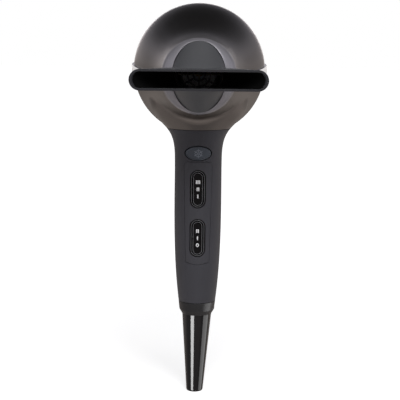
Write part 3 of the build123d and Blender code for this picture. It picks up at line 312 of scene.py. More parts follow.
# %% finishes
EDGE_SOFTNESS = 0.3 * MM
FINISHES = {
    "pearl_housing": finish(
        "pearl_graphite", (0.19, 0.178, 0.174), 0.35, metallic=1.0, spread=0.05, flakes=0.4,
        grain=9000.0, grain_depth=0.000008, bump=0.1, coat=0.1, coat_roughness=0.15, scuff=0.05,
        dust=0.01, edge=EDGE_SOFTNESS,
    ),
    "chrome_trim": finish(
        "bright_chrome", (0.82, 0.82, 0.84), 0.06, metallic=1.0, spread=0.03, rough_spread=0.04,
        bump=0.03, scuff=0.05, dust=0.04,
    ),
    "soft_touch": finish(
        "charcoal_soft_touch", (0.045, 0.045, 0.055), 0.52, spread=0.1, grain=5200.0,
        grain_depth=0.00003, bump=0.22, sheen=0.08, scuff=0.12, dust=0.06, edge=EDGE_SOFTNESS,
    ),
    "panel_matte": finish(
        "charcoal_panel", (0.053, 0.053, 0.063), 0.48, spread=0.08, grain=6000.0,
        grain_depth=0.00002, bump=0.15, scuff=0.1, dust=0.05,
    ),
    "gloss_black": finish(
        "gloss_black", (0.004, 0.004, 0.005), 0.07, spread=0.1, grain=1500.0,
        grain_depth=0.00001, bump=0.02, scuff=0.02, dust=0.01, rough_spread=0.03, specular=0.32,
    ),
    "button_grey": finish(
        "button_grey", (0.066, 0.078, 0.097), 0.38, spread=0.12, grain=3000.0,
        grain_depth=0.00002, bump=0.15, scuff=0.2, dust=0.04, edge=EDGE_SOFTNESS,
    ),
    "white_print": finish(
        "white_print", (0.88, 0.88, 0.88), 0.45, spread=0.04, bump=0.05, scuff=0.0, dust=0.0,
    ),
    "nozzle_matte": finish(
        "nozzle_matte", (0.070, 0.072, 0.078), 0.5, spread=0.1, grain=2600.0,
        grain_depth=0.00005, bump=0.35, scuff=0.15, dust=0.06, edge=EDGE_SOFTNESS,
    ),
    "collar_satin": finish(
        "collar_satin", (0.25, 0.242, 0.265), 0.36, metallic=0.4, spread=0.05, flakes=0.3,
        grain=7000.0, grain_depth=0.00001, bump=0.1, scuff=0.08, dust=0.04, edge=EDGE_SOFTNESS,
    ),
    "black_moulding": finish(
        "black_moulding", (0.015, 0.015, 0.016), 0.45, spread=0.15, grain=2500.0,
        grain_depth=0.00004, bump=0.3, dust=0.1,
    ),
    "mica": finish(
        "mica_sheet", (0.52, 0.46, 0.36), 0.5, spread=0.3, grain=900.0, grain_depth=0.00008,
        bump=0.4, cloud=160.0,
    ),
    "heater_wire": finish(
        "resistance_wire", (0.34, 0.30, 0.26), 0.42, metallic=1.0, spread=0.25, cloud=300.0,
    ),
    "spring_steel": finish("spring_steel", (0.5, 0.5, 0.51), 0.28, metallic=1.0, spread=0.1),
    "zinc_steel": finish(
        "zinc_plated_steel", (0.52, 0.52, 0.53), 0.34, metallic=1.0, spread=0.16, cloud=220.0,
    ),
    "sintered_bronze": finish(
        "sintered_bronze", (0.46, 0.31, 0.15), 0.5, metallic=1.0, grain=5000.0, bump=0.5,
        grain_depth=0.00006,
    ),
    "magnet_ferrite": finish("ferrite", (0.05, 0.05, 0.055), 0.6, grain=3500.0, bump=0.5),
    "lamination": finish("lamination", (0.2, 0.2, 0.21), 0.45, metallic=0.9, cloud=400.0),
    "board_green": finish(
        "solder_mask", (0.03, 0.16, 0.07), 0.3, spread=0.2, cloud=120.0, coat=0.4,
    ),
    "component_body": finish("component_resin", (0.07, 0.07, 0.085), 0.4, cloud=300.0),
    "rubber_black": finish(
        "rubber_mount", (0.02, 0.02, 0.02), 0.7, grain=2200.0, bump=0.4, grain_depth=0.00006,
    ),
    "lead_insulation": finish("lead_insulation", (0.3, 0.03, 0.025), 0.4, cloud=200.0),
    # Painted highlight: the snow mark is a lighter grey for the light that its relief catches.
    "painted_snow_highlight": finish(
        "painted_snow_highlight", (0.22, 0.24, 0.28), 0.38, spread=0.12, grain=3000.0,
        grain_depth=0.00002, bump=0.15, scuff=0.2, dust=0.04, edge=EDGE_SOFTNESS,
    ),
    # Partly painted shade: the filter weave is darker than plain steel for the shade between its
    # wires.
    "steel_weave_painted_shade": finish(
        "steel_weave_painted_shade", (0.13, 0.13, 0.135), 0.34, metallic=1.0, spread=0.16, cloud=220.0,
    ),
    "foot_satin": finish(
        "foot_satin", (0.024, 0.024, 0.026), 0.36, spread=0.1, grain=3500.0,
        grain_depth=0.00001, bump=0.08, scuff=0.05, dust=0.02, edge=EDGE_SOFTNESS, specular=0.35,
    ),
    # Painted shade: near black for the deep shade inside the nozzle duct.
    "slot_shadow": finish(
        "slot_shadow", (0.003, 0.003, 0.003), 0.7, spread=0.3, bump=0.2, scuff=0.0, dust=0.0,
        specular=0.05,
    ),
    "slot_rim": finish(
        "slot_rim", (0.021, 0.021, 0.025), 0.42, spread=0.1, grain=2600.0, grain_depth=0.00003,
        bump=0.2, scuff=0.1, dust=0.03, edge=EDGE_SOFTNESS, specular=0.35,
    ),
    # Painted highlight: light grey for the edges of the black gloss rockers and bezels catching the
    # light.
    "painted_switch_highlight": finish(
        "painted_switch_highlight", (0.24, 0.24, 0.25), 0.3, spread=0.1, bump=0.05, scuff=0.05, dust=0.0,
    ),
}
print("finishes:", len(FINISHES))

# %% [markdown]
# ## Finish on every CAD node
# The record names a material slot for each node, so one loop dresses the whole frame. A CAD mesh
# comes as loose flat triangles, and its own split normals already shade it smoothly.

# %% dress the frame
SLOT_OF = {part["node"]: part["material_slot"] for part in frame["record"]["subparts"]}
OWN_FINISH = {"cord_collar": "foot_satin"}
for node_name, node in NODES.items():
    node.data.materials.clear()
    node.data.materials.append(FINISHES[OWN_FINISH.get(node_name, SLOT_OF[node_name])])
print("dressed", len(SLOT_OF), "nodes")

# %% [markdown]
# ### Painted shade in the nozzle duct
# The nozzle is one moulding. The inside of its slot is coloured near black, a painted shade for the
# deep shade there, and its narrow front rim is given a darker and smoother finish than the grained
# body. Its faces are sorted by where they look: a face that looks towards the barrel axis belongs
# to the duct, and a face that looks forward at the tip is the rim.

# %% sort the nozzle faces
RIM_DEPTH = 1.0 * MM
nozzle = NODES["nozzle_body"]
tip_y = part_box("nozzle_body")[0][1]
for extra in ("slot_shadow", "slot_rim"):
    nozzle.data.materials.append(FINISHES[extra])
sorted_faces = [0, 0, 0]
for face in nozzle.data.polygons:
    place = nozzle.matrix_world @ face.center
    inward = face.normal.x * place.x + face.normal.z * (place.z - AXIS_Z) < 0
    at_tip = place.y < tip_y + RIM_DEPTH
    if face.normal.y < -0.5 and at_tip:
        face.material_index = 2
    elif inward:
        face.material_index = 1
    sorted_faces[face.material_index] += 1
print("nozzle faces: body, duct, rim", sorted_faces)

# %% [markdown]
# ## Hand tools for the small pieces
# The small pieces are modelled as by hand. Every step first drops what is selected, because an
# operator acts on all that is selected, and then picks vertices by their place.

# %% selection helpers
SMOOTH_ANGLE = math.radians(30)
MERGE_REACH = 0.001 * MM


def start_fresh():
    """Leave edit mode and select nothing."""
    if bpy.context.mode != "OBJECT":
        bpy.ops.object.mode_set(mode="OBJECT")
    bpy.ops.object.select_all(action="DESELECT")


def edit_all():
    """Go into edit mode with everything selected."""
    bpy.ops.object.mode_set(mode="EDIT")
    bpy.ops.mesh.select_all(action="SELECT")


def pick_vertices(piece, wanted):
    """In edit mode, select the vertices whose place passes a test."""
    bpy.ops.mesh.select_mode(type="VERT")
    bpy.ops.mesh.select_all(action="DESELECT")
    cage = bmesh.from_edit_mesh(piece.data)
    for vertex in cage.verts:
        vertex.select_set(wanted(vertex.co))
    cage.select_flush(True)
    bmesh.update_edit_mesh(piece.data)


def hand_over(piece, finish_name, body):
    """Give a finished piece its material and the body it moves with."""
    piece.data.materials.clear()
    piece.data.materials.append(FINISHES[finish_name])
    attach(piece, body)
    print(piece.name, "faces", len(piece.data.polygons), "rides on", body)


def merged_copy(node_name, name):
    """A CAD node's mesh in an object of its own, its loose triangles joined."""
    start_fresh()
    source = NODES[node_name]
    piece = bpy.data.objects.new(name, source.data.copy())
    piece.data.transform(source.matrix_world)
    bpy.context.collection.objects.link(piece)
    bpy.context.view_layer.objects.active = piece
    piece.select_set(True)
    bpy.ops.mesh.customdata_custom_splitnormals_clear()
    edit_all()
    bpy.ops.mesh.remove_doubles(threshold=MERGE_REACH)
    bpy.ops.object.mode_set(mode="OBJECT")
    bpy.ops.object.shade_smooth_by_angle(angle=SMOOTH_ANGLE)
    return piece


# %% [markdown]
# ### Control panel
# The panel is a thin moulding let into the grip. On the real dryer it is pressed in so tightly that
# its long sides leave only a hairline. The CAD solid keeps a wider fitting gap, so a copy of it is
# drawn out a little sideways and forward, and the gap stays open at its foot.

# %% close the sides of the panel
PANEL_SPREAD = (1.02, 1.0, 1.0)
PANEL_RISE = 0.1 * MM
panel = merged_copy("control_panel", "panel_skin")
low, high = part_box("control_panel")
panel_centre = (Vector(low) + Vector(high)) / 2
edit_all()
bpy.ops.transform.resize(value=PANEL_SPREAD, center_override=panel_centre)
bpy.ops.transform.translate(value=(0, -PANEL_RISE, 0))
bpy.ops.object.mode_set(mode="OBJECT")
hand_over(panel, "panel_matte", "dryer")
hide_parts("control_panel")

# %% [markdown]
# ### Collar of the nozzle
# The collar is welded round the oval root of the nozzle, and on the real part no gap shows between
# them. The CAD solids keep a seat gap there, so a copy of the collar has the edge of its oval
# opening drawn in until it all but meets the nozzle. The bore behind it keeps its size, since the
# collar turns on the sleeve there.

# %% close the opening of the collar
OPENING_HALF_X = 18.95 * MM
OPENING_HALF_Z = 25.0 * MM
OPENING_DRAW = 0.19 * MM
OPENING_BACK_Y = -80.85 * MM
OPENING_TOLERANCE = 0.03
low, high = (Vector(corner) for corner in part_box("nozzle_collar"))
axis_z = (low.z + high.z) / 2


def on_opening(place):
    """Whether a vertex lies on the wall of the oval opening, in front of the sleeve."""
    reach = (place.x / OPENING_HALF_X) ** 2 + ((place.z - axis_z) / OPENING_HALF_Z) ** 2
    return place.y < OPENING_BACK_Y and abs(reach - 1) < OPENING_TOLERANCE


collar = merged_copy("nozzle_collar", "collar_skin")
bpy.ops.object.mode_set(mode="EDIT")
pick_vertices(collar, on_opening)
bpy.ops.transform.resize(
    value=(1 - OPENING_DRAW / OPENING_HALF_X, 1, 1 - OPENING_DRAW / OPENING_HALF_Z),
    center_override=(0, 0, axis_z),
)
bpy.ops.object.mode_set(mode="OBJECT")
hand_over(collar, "collar_satin", "nozzle")
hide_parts("nozzle_collar")

# %% [markdown]
# ### Painted highlight lines round the rockers
# Each rocker lies in a black stadium recess, and two fine lips run round it: one on the edge of the
# rocker, one on the bezel. A lip is a thin round bead in light grey, a painted highlight for the
# black gloss edge catching the light. A circle with an even number of points that is not a multiple
# of four has none at its sides, so its two halves can be pulled apart into a stadium. Made a curve,
# it takes a round section, and it is then made a mesh again.

# %% bead on a stadium path


def stadium_bead(name, centre, half_width, half_length, thickness, body):
    """A fine raised line round a stadium across the Y axis, in the grey of a painted highlight."""
    start_fresh()
    bpy.ops.mesh.primitive_circle_add(
        vertices=50, radius=half_width, location=centre, rotation=(math.pi / 2, 0, 0)
    )
    bead = bpy.context.object
    bead.name = name
    bpy.ops.object.transform_apply(location=True, rotation=True, scale=True)
    bpy.ops.object.mode_set(mode="EDIT")
    for side in (-1, 1):
        pick_vertices(bead, lambda place: side * (place.z - centre.z) > 0)
        bpy.ops.transform.translate(value=(0, 0, side * (half_length - half_width)))
    bpy.ops.object.mode_set(mode="OBJECT")
    bpy.ops.object.convert(target="CURVE")
    bead = bpy.context.object
    bead.data.bevel_depth = thickness
    bead.data.bevel_resolution = 2
    bpy.ops.object.convert(target="MESH")
    bead = bpy.context.object
    bpy.ops.object.shade_smooth()
    hand_over(bead, "painted_switch_highlight", body)


# %% the four lines
LINE_THICKNESS = 0.13 * MM
LINE_SINK = 0.02 * MM
ROCKER_WIDTH = 7.2 * MM
ROCKER_LINE_INSET = 0.35 * MM
BEZEL_LINE_INSET = 0.75 * MM
for switch in ("heat", "speed"):
    low, high = (Vector(corner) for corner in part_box(switch + "_rocker"))
    centre = Vector((0, low.y + LINE_SINK, (low.z + high.z) / 2))
    long_half = (high.z - low.z) / 2 - ROCKER_LINE_INSET
    stadium_bead(
        switch + "_rocker_line", centre, ROCKER_WIDTH / 2 - ROCKER_LINE_INSET, long_half,
        LINE_THICKNESS, switch + "_key",
    )
    low, high = (Vector(corner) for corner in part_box(switch + "_bezel"))
    centre = Vector((0, low.y, (low.z + high.z) / 2))
    stadium_bead(
        switch + "_bezel_line", centre, (high.x - low.x) / 2 - BEZEL_LINE_INSET,
        (high.z - low.z) / 2 - BEZEL_LINE_INSET, LINE_THICKNESS, "dryer",
    )

# %% [markdown]
# ### Printed marks on the rockers
# The settings are printed in thick white ink: three, two and one strokes for heat, and two strokes,
# one stroke and a nought for speed. One stroke is a box with rounded corners, modelled once and
# copied to its places. The nought is a torus pressed flat.

# %% one printed stroke
INK_STROKE = 0.84 * MM
INK_PITCH = 1.16 * MM
INK_HEIGHT = 2.75 * MM
INK_PROUD = 0.12 * MM
INK_CORNER = 0.16 * MM
NOUGHT_RADIUS = 1.0 * MM
NOUGHT_ROUND = 0.36 * MM
NOUGHT_WIDTH_SHARE = 0.82
NOUGHT_HEIGHT_SHARE = 1.05


def printed_stroke():
    """A thin white bar at the origin, its outline corners rounded."""
    start_fresh()
    bpy.ops.mesh.primitive_cube_add(size=1, location=(0, 0, 0))
    bar = bpy.context.object
    bpy.ops.object.mode_set(mode="EDIT")
    bpy.ops.transform.resize(value=(INK_STROKE, 2 * INK_PROUD, INK_HEIGHT))
    bpy.ops.mesh.select_mode(type="EDGE")
    bpy.ops.mesh.select_all(action="DESELECT")
    cage = bmesh.from_edit_mesh(bar.data)
    for edge in cage.edges:
        first, second = edge.verts
        edge.select_set(abs(first.co.y - second.co.y) > INK_PROUD)
    bmesh.update_edit_mesh(bar.data)
    bpy.ops.mesh.bevel(offset=INK_CORNER, segments=3)
    bpy.ops.object.mode_set(mode="OBJECT")
    return bar


def printed_nought(centre):
    """A flat white ring, taller than it is wide."""
    start_fresh()
    bpy.ops.mesh.primitive_torus_add(
        major_radius=NOUGHT_RADIUS, minor_radius=NOUGHT_ROUND, major_segments=40, minor_segments=10,
        location=(0, 0, 0), rotation=(math.pi / 2, 0, 0),
    )
    ring = bpy.context.object
    bpy.ops.object.transform_apply(location=True, rotation=True, scale=True)
    edit_all()
    flat = (NOUGHT_WIDTH_SHARE, INK_PROUD / NOUGHT_ROUND, NOUGHT_HEIGHT_SHARE)
    bpy.ops.transform.resize(value=flat, center_override=(0, 0, 0))
    bpy.ops.transform.translate(value=centre)
    bpy.ops.object.mode_set(mode="OBJECT")
    bpy.ops.object.shade_smooth()
    return ring


# %% print the marks
MARK_ROWS = 5.3 * MM
PRINT = {
    "heat": ((3, 1), (2, 0), (1, -1)),
    "speed": ((2, 1), (1, 0)),
}
for switch, rows in PRINT.items():
    low, high = (Vector(corner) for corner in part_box(switch + "_rocker"))
    face_y, middle = low.y, (low.z + high.z) / 2
    stroke = printed_stroke()
    strokes = []
    for count, row in rows:
        for index in range(count):
            start_fresh()
            bar = stroke.copy()
            bar.data = stroke.data.copy()
            bpy.context.collection.objects.link(bar)
            bpy.context.view_layer.objects.active = bar
            bar.select_set(True)
            across = (index - (count - 1) / 2) * INK_PITCH
            bpy.ops.transform.translate(value=(across, face_y, middle + row * MARK_ROWS))
            bpy.ops.object.transform_apply(location=True, rotation=True, scale=True)
            strokes.append(bar)
    if switch == "speed":
        strokes.append(printed_nought(Vector((0, face_y, middle - MARK_ROWS))))
    bpy.data.objects.remove(stroke)
    start_fresh()
    for bar in strokes:
        bar.select_set(True)
    bpy.context.view_layer.objects.active = strokes[0]
    bpy.ops.object.join()
    marks = bpy.context.object
    marks.name = switch + "_print"
    hand_over(marks, "white_print", switch + "_key")
    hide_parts(switch + "_marks")

# %% [markdown]
# ### Cool-shot button
# The button is a small pillow in an oval hole. A copy of its solid is drawn in a little, so that a
# dark gap shows all round, and a rounded lip is laid along its edge, which catches the light on top
# and falls into shade below.

# %% button cap and lip
CAP_SHRINK = 0.955
LIP_INSET = 0.42 * MM
LIP_ROUND = 0.42 * MM
LIP_SINK = 0.45 * LIP_ROUND
STAND_OFF = 2 * MM
FACE_HALF_WIDTH = 9.8 * MM * CAP_SHRINK
FACE_HALF_HEIGHT = 5.2 * MM * CAP_SHRINK
cap = merged_copy("cool_shot_button", "cool_shot_cap")
low, high = (Vector(corner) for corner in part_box("cool_shot_button"))
cap_centre = (low + high) / 2
edit_all()
bpy.ops.transform.resize(value=(CAP_SHRINK, 1, CAP_SHRINK), center_override=cap_centre)
bpy.ops.object.mode_set(mode="OBJECT")
hand_over(cap, "button_grey", "cool_key")
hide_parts("cool_shot_button")


def lay_on(piece, target, proud):
    """Press a piece along the Y axis onto the front of a target."""
    wrap = piece.modifiers.new("lay_on", "SHRINKWRAP")
    wrap.target = target
    wrap.wrap_method = "PROJECT"
    wrap.use_project_y = True
    wrap.use_positive_direction = True
    wrap.use_negative_direction = False
    wrap.offset = proud
    bpy.ops.object.modifier_apply(modifier=wrap.name)


start_fresh()
bpy.ops.mesh.primitive_circle_add(vertices=96, radius=1.0, rotation=(math.pi / 2, 0, 0))
lip = bpy.context.object
lip.name = "cool_shot_lip"
bpy.ops.object.transform_apply(location=True, rotation=True, scale=True)
edit_all()
oval = (FACE_HALF_WIDTH - LIP_INSET, 1, FACE_HALF_HEIGHT - LIP_INSET)
bpy.ops.transform.resize(value=oval, center_override=(0, 0, 0))
bpy.ops.transform.translate(value=(0, low.y - STAND_OFF, cap_centre.z))
bpy.ops.object.mode_set(mode="OBJECT")
lay_on(lip, cap, -LIP_SINK)
bpy.ops.object.convert(target="CURVE")
lip = bpy.context.object
lip.data.bevel_depth = LIP_ROUND
lip.data.bevel_resolution = 3
bpy.ops.object.convert(target="MESH")
lip = bpy.context.object
bpy.ops.object.shade_smooth()
hand_over(lip, "button_grey", "cool_key")

# %% [markdown]
# ### Snow mark on the cool-shot button
# A plain snow crystal stands about a quarter of a millimetre proud of the button. Its lighter grey
# of the same hue is a painted highlight for the light that its relief catches. One arm is made of
# three strips and copied round in steps of sixty degrees.
# The crystal is then laid on the curved button by a Shrinkwrap and thickened by a Solidify.

# %% snow mark
ARM_START = 0.3 * MM
ARM_LENGTH = 3.1 * MM
TWIG_LENGTH = 1.3 * MM
TWIG_PLACE = 1.8 * MM
STRIP_WIDTH = 0.5 * MM
SNOW_PROUD = 0.1 * MM
SNOW_THICK = 0.34 * MM
TWIG_ANGLE = math.radians(60)
ARM_STEP = math.radians(60)
FIRST_ARM = math.radians(30)
ARMS = 6


def add_strip(length):
    """In edit mode, a thin flat strip from the origin along +X, across the Y axis."""
    bpy.ops.mesh.primitive_grid_add(
        x_subdivisions=6, y_subdivisions=1, size=1, location=(0, 0, 0), rotation=(math.pi / 2, 0, 0)
    )
    bpy.ops.transform.resize(value=(length, 1, STRIP_WIDTH), center_override=(0, 0, 0))
    bpy.ops.transform.translate(value=(length / 2, 0, 0))


start_fresh()
bpy.ops.mesh.primitive_grid_add(
    x_subdivisions=6, y_subdivisions=1, size=1, location=(0, 0, 0), rotation=(math.pi / 2, 0, 0)
)
snow = bpy.context.object
snow.name = "snow_mark"
bpy.ops.object.transform_apply(location=True, rotation=True, scale=True)
edit_all()
bpy.ops.transform.resize(value=(ARM_LENGTH, 1, STRIP_WIDTH), center_override=(0, 0, 0))
bpy.ops.transform.translate(value=(ARM_START + ARM_LENGTH / 2, 0, 0))
for side in (-1, 1):
    add_strip(TWIG_LENGTH)
    bpy.ops.transform.rotate(value=side * TWIG_ANGLE, orient_axis="Y", center_override=(0, 0, 0))
    bpy.ops.transform.translate(value=(TWIG_PLACE, 0, 0))
bpy.ops.mesh.select_all(action="SELECT")
bpy.ops.transform.rotate(value=FIRST_ARM, orient_axis="Y", center_override=(0, 0, 0))
for _ in range(ARMS - 1):
    bpy.ops.mesh.duplicate()
    bpy.ops.transform.rotate(value=ARM_STEP, orient_axis="Y", center_override=(0, 0, 0))
bpy.ops.mesh.select_all(action="SELECT")
bpy.ops.transform.translate(value=(0, low.y - STAND_OFF, cap_centre.z))
bpy.ops.object.mode_set(mode="OBJECT")
lay_on(snow, cap, SNOW_PROUD)
thicken = snow.modifiers.new("thickness", "SOLIDIFY")
thicken.thickness = SNOW_THICK
thicken.offset = 0.0
bpy.ops.object.modifier_apply(modifier=thicken.name)
edit_all()
bpy.ops.mesh.normals_make_consistent(inside=False)
bpy.ops.object.mode_set(mode="OBJECT")
hand_over(snow, "painted_snow_highlight", "cool_key")

# %% [markdown]
# ### Return spring of the cool-shot button
# The spring behind the button is pressed together as the button goes in. A copy of the CAD spring
# stands for it.

# %% spring copy
spring = merged_copy("cool_shot_spring", "button_spring")
low, high = (Vector(corner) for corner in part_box("cool_shot_spring"))
hand_over(spring, "spring_steel", "dryer")
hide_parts("cool_shot_spring")
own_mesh(spring)

# %% [markdown]
# ### Fine weave of the filter
# The air filter is a fine steel weave over a coarse frame. The CAD solid is the frame alone, and
# daylight would fall straight through it. A thin disc stands for the weave, and closes the view
# through the dryer. At this size its wires are a grain in the steel and not geometry.
# Its steel is darker than plain steel, a painted shade for the gaps and shadows between the wires.

# %% weave disc
WEAVE_RADIUS = 41.0 * MM
WEAVE_THICK = 0.2 * MM
low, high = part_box("filter_mesh")
weave_centre = (Vector(low) + Vector(high)) / 2
start_fresh()
bpy.ops.mesh.primitive_cylinder_add(vertices=128, radius=WEAVE_RADIUS, depth=WEAVE_THICK)
weave = bpy.context.object
weave.name = "filter_weave"
edit_all()
bpy.ops.transform.rotate(value=math.pi / 2, orient_axis="X", center_override=(0, 0, 0))
bpy.ops.transform.translate(value=weave_centre)
bpy.ops.object.mode_set(mode="OBJECT")
bpy.ops.object.shade_smooth_by_angle(angle=SMOOTH_ANGLE)
hand_over(weave, "steel_weave_painted_shade", "filter_cap")

# %% [markdown]
# ## Floor, light and camera
# A product like this is shown on plain white. The floor is pale, and it glows for the camera, which
# lifts it to white while the contact shadow stays. Reflections look straight through the floor into
# the room, so the gloss black foot mirrors the tall lights over its whole length. The glow is
# weaker under the dryer than far from it.

# %% floor
FLOOR_RADIUS = 6.0
FLOOR_WHITE = (0.9, 0.9, 0.9, 1)
FLOOR_ROUGHNESS = 0.9
WEAK_GLOW_REACH = 0.1
FULL_GLOW_REACH = 0.7
WEAK_GLOW = 0.7
FULL_GLOW = 1.0
start_fresh()
bpy.ops.mesh.primitive_circle_add(
    vertices=96, radius=FLOOR_RADIUS, fill_type="NGON", location=(0, 0, FLOOR_Z)
)
floor = bpy.context.object
floor.name = "studio_floor"
floor_material = bpy.data.materials.new("studio_floor_white")
floor_material.use_nodes = True
tree = floor_material.node_tree
floor_shader = tree.nodes["Principled BSDF"]
floor_shader.inputs["Base Color"].default_value = FLOOR_WHITE
floor_shader.inputs["Roughness"].default_value = FLOOR_ROUGHNESS
floor_shader.inputs["Specular IOR Level"].default_value = 0.0
floor_shader.inputs["Emission Color"].default_value = (1, 1, 1, 1)
ray = tree.nodes.new("ShaderNodeLightPath")
seen = math_node(tree, "MAXIMUM", ray.outputs["Is Camera Ray"], ray.outputs["Is Transmission Ray"])
far_off = tree.nodes.new("ShaderNodeVectorMath")
far_off.operation = "LENGTH"
tree.links.new(tree.nodes.new("ShaderNodeTexCoord").outputs["Object"], far_off.inputs[0])
spread = tree.nodes.new("ShaderNodeMapRange")
tree.links.new(far_off.outputs["Value"], spread.inputs["Value"])
spread.inputs["From Min"].default_value = WEAK_GLOW_REACH
spread.inputs["From Max"].default_value = FULL_GLOW_REACH
spread.inputs["To Min"].default_value = WEAK_GLOW
spread.inputs["To Max"].default_value = FULL_GLOW
glow = math_node(tree, "MULTIPLY", seen, spread.outputs["Result"])
tree.links.new(glow, floor_shader.inputs["Emission Strength"])
clear = tree.nodes.new("ShaderNodeBsdfTransparent")
either = tree.nodes.new("ShaderNodeMixShader")
tree.links.new(ray.outputs["Is Glossy Ray"], either.inputs["Fac"])
tree.links.new(floor_shader.outputs["BSDF"], either.inputs[1])
tree.links.new(clear.outputs["BSDF"], either.inputs[2])
tree.links.new(either.outputs["Shader"], tree.nodes["Material Output"].inputs["Surface"])
floor.data.materials.append(floor_material)
print("floor radius", FLOOR_RADIUS, "at", round(FLOOR_Z, 4))

# %% [markdown]
# The room is dark, and soft white cards stand and hang in it, as in a studio for glossy goods. A
# card is a patch of the sky that the dryer mirrors, given by its bearing round the room, its height
# and how bright it is. One node group draws a card with soft borders, and the world adds them up.
# The room is a touch warm low down and cool higher up. Camera and transmission rays see plain white
# instead. Mirrored rays don't: straight behind the dryer they find a grey card, and above it one
# that is brighter than white.

# %% soft card group
CARD_SOFT_BEARING = math.radians(6)
CARD_SOFT_HEIGHT = 0.04
card_group, start, end = new_group(
    "soft_card",
    (
        ("Bearing", 0.0), ("Height", 0.0), ("Card Bearing", 0.0), ("Half Width", 0.5),
        ("Card Height", 0.0), ("Half Height", 0.3), ("Brightness", 1.0),
    ),
    (("Light", "NodeSocketFloat"),),
)


def fade_out(tree, distance, half, soft):
    """One inside a border, nothing outside it, with a soft step between."""
    step = tree.nodes.new("ShaderNodeMapRange")
    step.interpolation_type = "SMOOTHSTEP"
    tree.links.new(distance, step.inputs["Value"])
    tree.links.new(math_node(tree, "SUBTRACT", half, soft), step.inputs["From Min"])
    tree.links.new(math_node(tree, "ADD", half, soft), step.inputs["From Max"])
    step.inputs["To Min"].default_value = 1.0
    step.inputs["To Max"].default_value = 0.0
    return step.outputs["Result"]


apart = math_node(card_group, "SUBTRACT", start.outputs["Bearing"], start.outputs["Card Bearing"])
apart = math_node(card_group, "WRAP", apart, math.pi)
apart.node.inputs[2].default_value = -math.pi
apart = math_node(card_group, "ABSOLUTE", apart, 0.0)
above = math_node(card_group, "SUBTRACT", start.outputs["Height"], start.outputs["Card Height"])
above = math_node(card_group, "ABSOLUTE", above, 0.0)
across = fade_out(card_group, apart, start.outputs["Half Width"], CARD_SOFT_BEARING)
upright = fade_out(card_group, above, start.outputs["Half Height"], CARD_SOFT_HEIGHT)
lit = math_node(card_group, "MULTIPLY", across, upright)
lit = math_node(card_group, "MULTIPLY", lit, start.outputs["Brightness"])
card_group.links.new(lit, end.inputs["Light"])
print("group", card_group.name)

# %% world
CARDS = (
    # name, bearing, half width, height, half height, brightness
    ("grey_behind", 180, 10, -0.10, 0.09, 0.4),
    ("behind_up", 180, 14, 0.07, 0.08, 3.4),
    ("behind_left", -160, 10, -0.12, 0.12, 0.21),
    ("behind_right", 160, 10, -0.12, 0.12, 0.27),
    ("left_behind", -140, 11, -0.15, 0.2, 0.21),
    ("right_behind", 140, 11, -0.15, 0.2, 0.23),
    ("behind_left_up", -160, 10, 0.08, 0.08, 0.38),
    ("behind_right_up", 160, 10, 0.08, 0.08, 0.05),
    ("left_behind_up", -140, 11, 0.10, 0.08, 0.18),
    ("right_behind_up", 140, 11, 0.10, 0.08, 0.18),
    ("behind_rising", 180, 50, 0.24, 0.07, 0.34),
    ("behind_high", 180, 30, 0.36, 0.06, 0.12),
    ("behind_top", 180, 80, 0.62, 0.10, 0.01),
    ("sheen_left", -155, 5, 0.08, 0.08, 0.40),
    ("sheen_right", 155, 5, 0.08, 0.08, 0.46),
    ("low_behind", 180, 90, -0.33, 0.08, 0.32),
    ("lower_behind", 180, 90, -0.52, 0.12, 0.32),
    ("low_front", 0, 90, -0.45, 0.15, 0.33),
    ("floor_behind", 180, 90, -0.8, 0.2, 0.25),
    ("floor_front", 0, 90, -0.8, 0.2, 0.5),
    ("right", 100, 30, -0.05, 0.25, 0.43),
    ("right_front", 52, 16, -0.05, 0.25, 0.22),
    ("front", 0, 36, -0.1, 0.3, 0.19),
    ("left", -80, 44, -0.05, 0.25, 0.3),
    ("sides_high", 0, 120, 0.34, 0.14, 0.44),
)
WARM_WALL = (1.10, 0.985, 0.91)
COOL_CEILING = (0.98, 0.97, 1.10)
WARM_BELOW = -0.1
COOL_ABOVE = 0.35
world = bpy.data.worlds.new("studio_room")
bpy.context.scene.world = world
world.use_nodes = True
tree = world.node_tree
back = tree.nodes["Background"]
direction = tree.nodes.new("ShaderNodeTexCoord").outputs["Generated"]
split = tree.nodes.new("ShaderNodeSeparateXYZ")
tree.links.new(direction, split.inputs["Vector"])
flipped = math_node(tree, "MULTIPLY", split.outputs["Y"], -1.0)
bearing = math_node(tree, "ARCTAN2", split.outputs["X"], flipped)
room = None
for card_name, card_bearing, half_width, card_height, half_height, brightness in CARDS:
    card = place_group(
        tree, card_group, Card_Bearing=math.radians(card_bearing),
        Half_Width=math.radians(half_width), Card_Height=card_height,
        Half_Height=half_height, Brightness=brightness,
    )
    card.label = card_name
    tree.links.new(bearing, card.inputs["Bearing"])
    tree.links.new(split.outputs["Z"], card.inputs["Height"])
    light = card.outputs["Light"]
    room = light if room is None else math_node(tree, "ADD", room, light)
ray = tree.nodes.new("ShaderNodeLightPath")
seen = math_node(tree, "MAXIMUM", ray.outputs["Is Camera Ray"], ray.outputs["Is Transmission Ray"])
warmth = tree.nodes.new("ShaderNodeMapRange")
tree.links.new(split.outputs["Z"], warmth.inputs["Value"])
warmth.inputs["From Min"].default_value = WARM_BELOW
warmth.inputs["From Max"].default_value = COOL_ABOVE
tint = mix_colour(tree, warmth.outputs["Result"], WARM_WALL, COOL_CEILING)
tinted = tree.nodes.new("ShaderNodeVectorMath")
tinted.operation = "SCALE"
tree.links.new(tint, tinted.inputs[0])
tree.links.new(room, tinted.inputs["Scale"])
glow = mix_colour(tree, seen, tinted.outputs["Vector"], (1.0, 1.0, 1.0))
tree.links.new(glow, back.inputs["Color"])
back.inputs["Strength"].default_value = 1.0
print("cards in the room:", len(CARDS))

# %% [markdown]
# Lamps stand among the cards. The key hangs high in front, so that the head shades the neck, with a
# weaker one overhead. A tall strip on the left draws the sharp line down the black cord sleeve, and
# a card on the right its broad grey band. Two cards far behind whiten the chrome trims, which
# mirror the back of the room. Light linking keeps these four off everything else, as black flags
# would in a studio.

# %% lamps


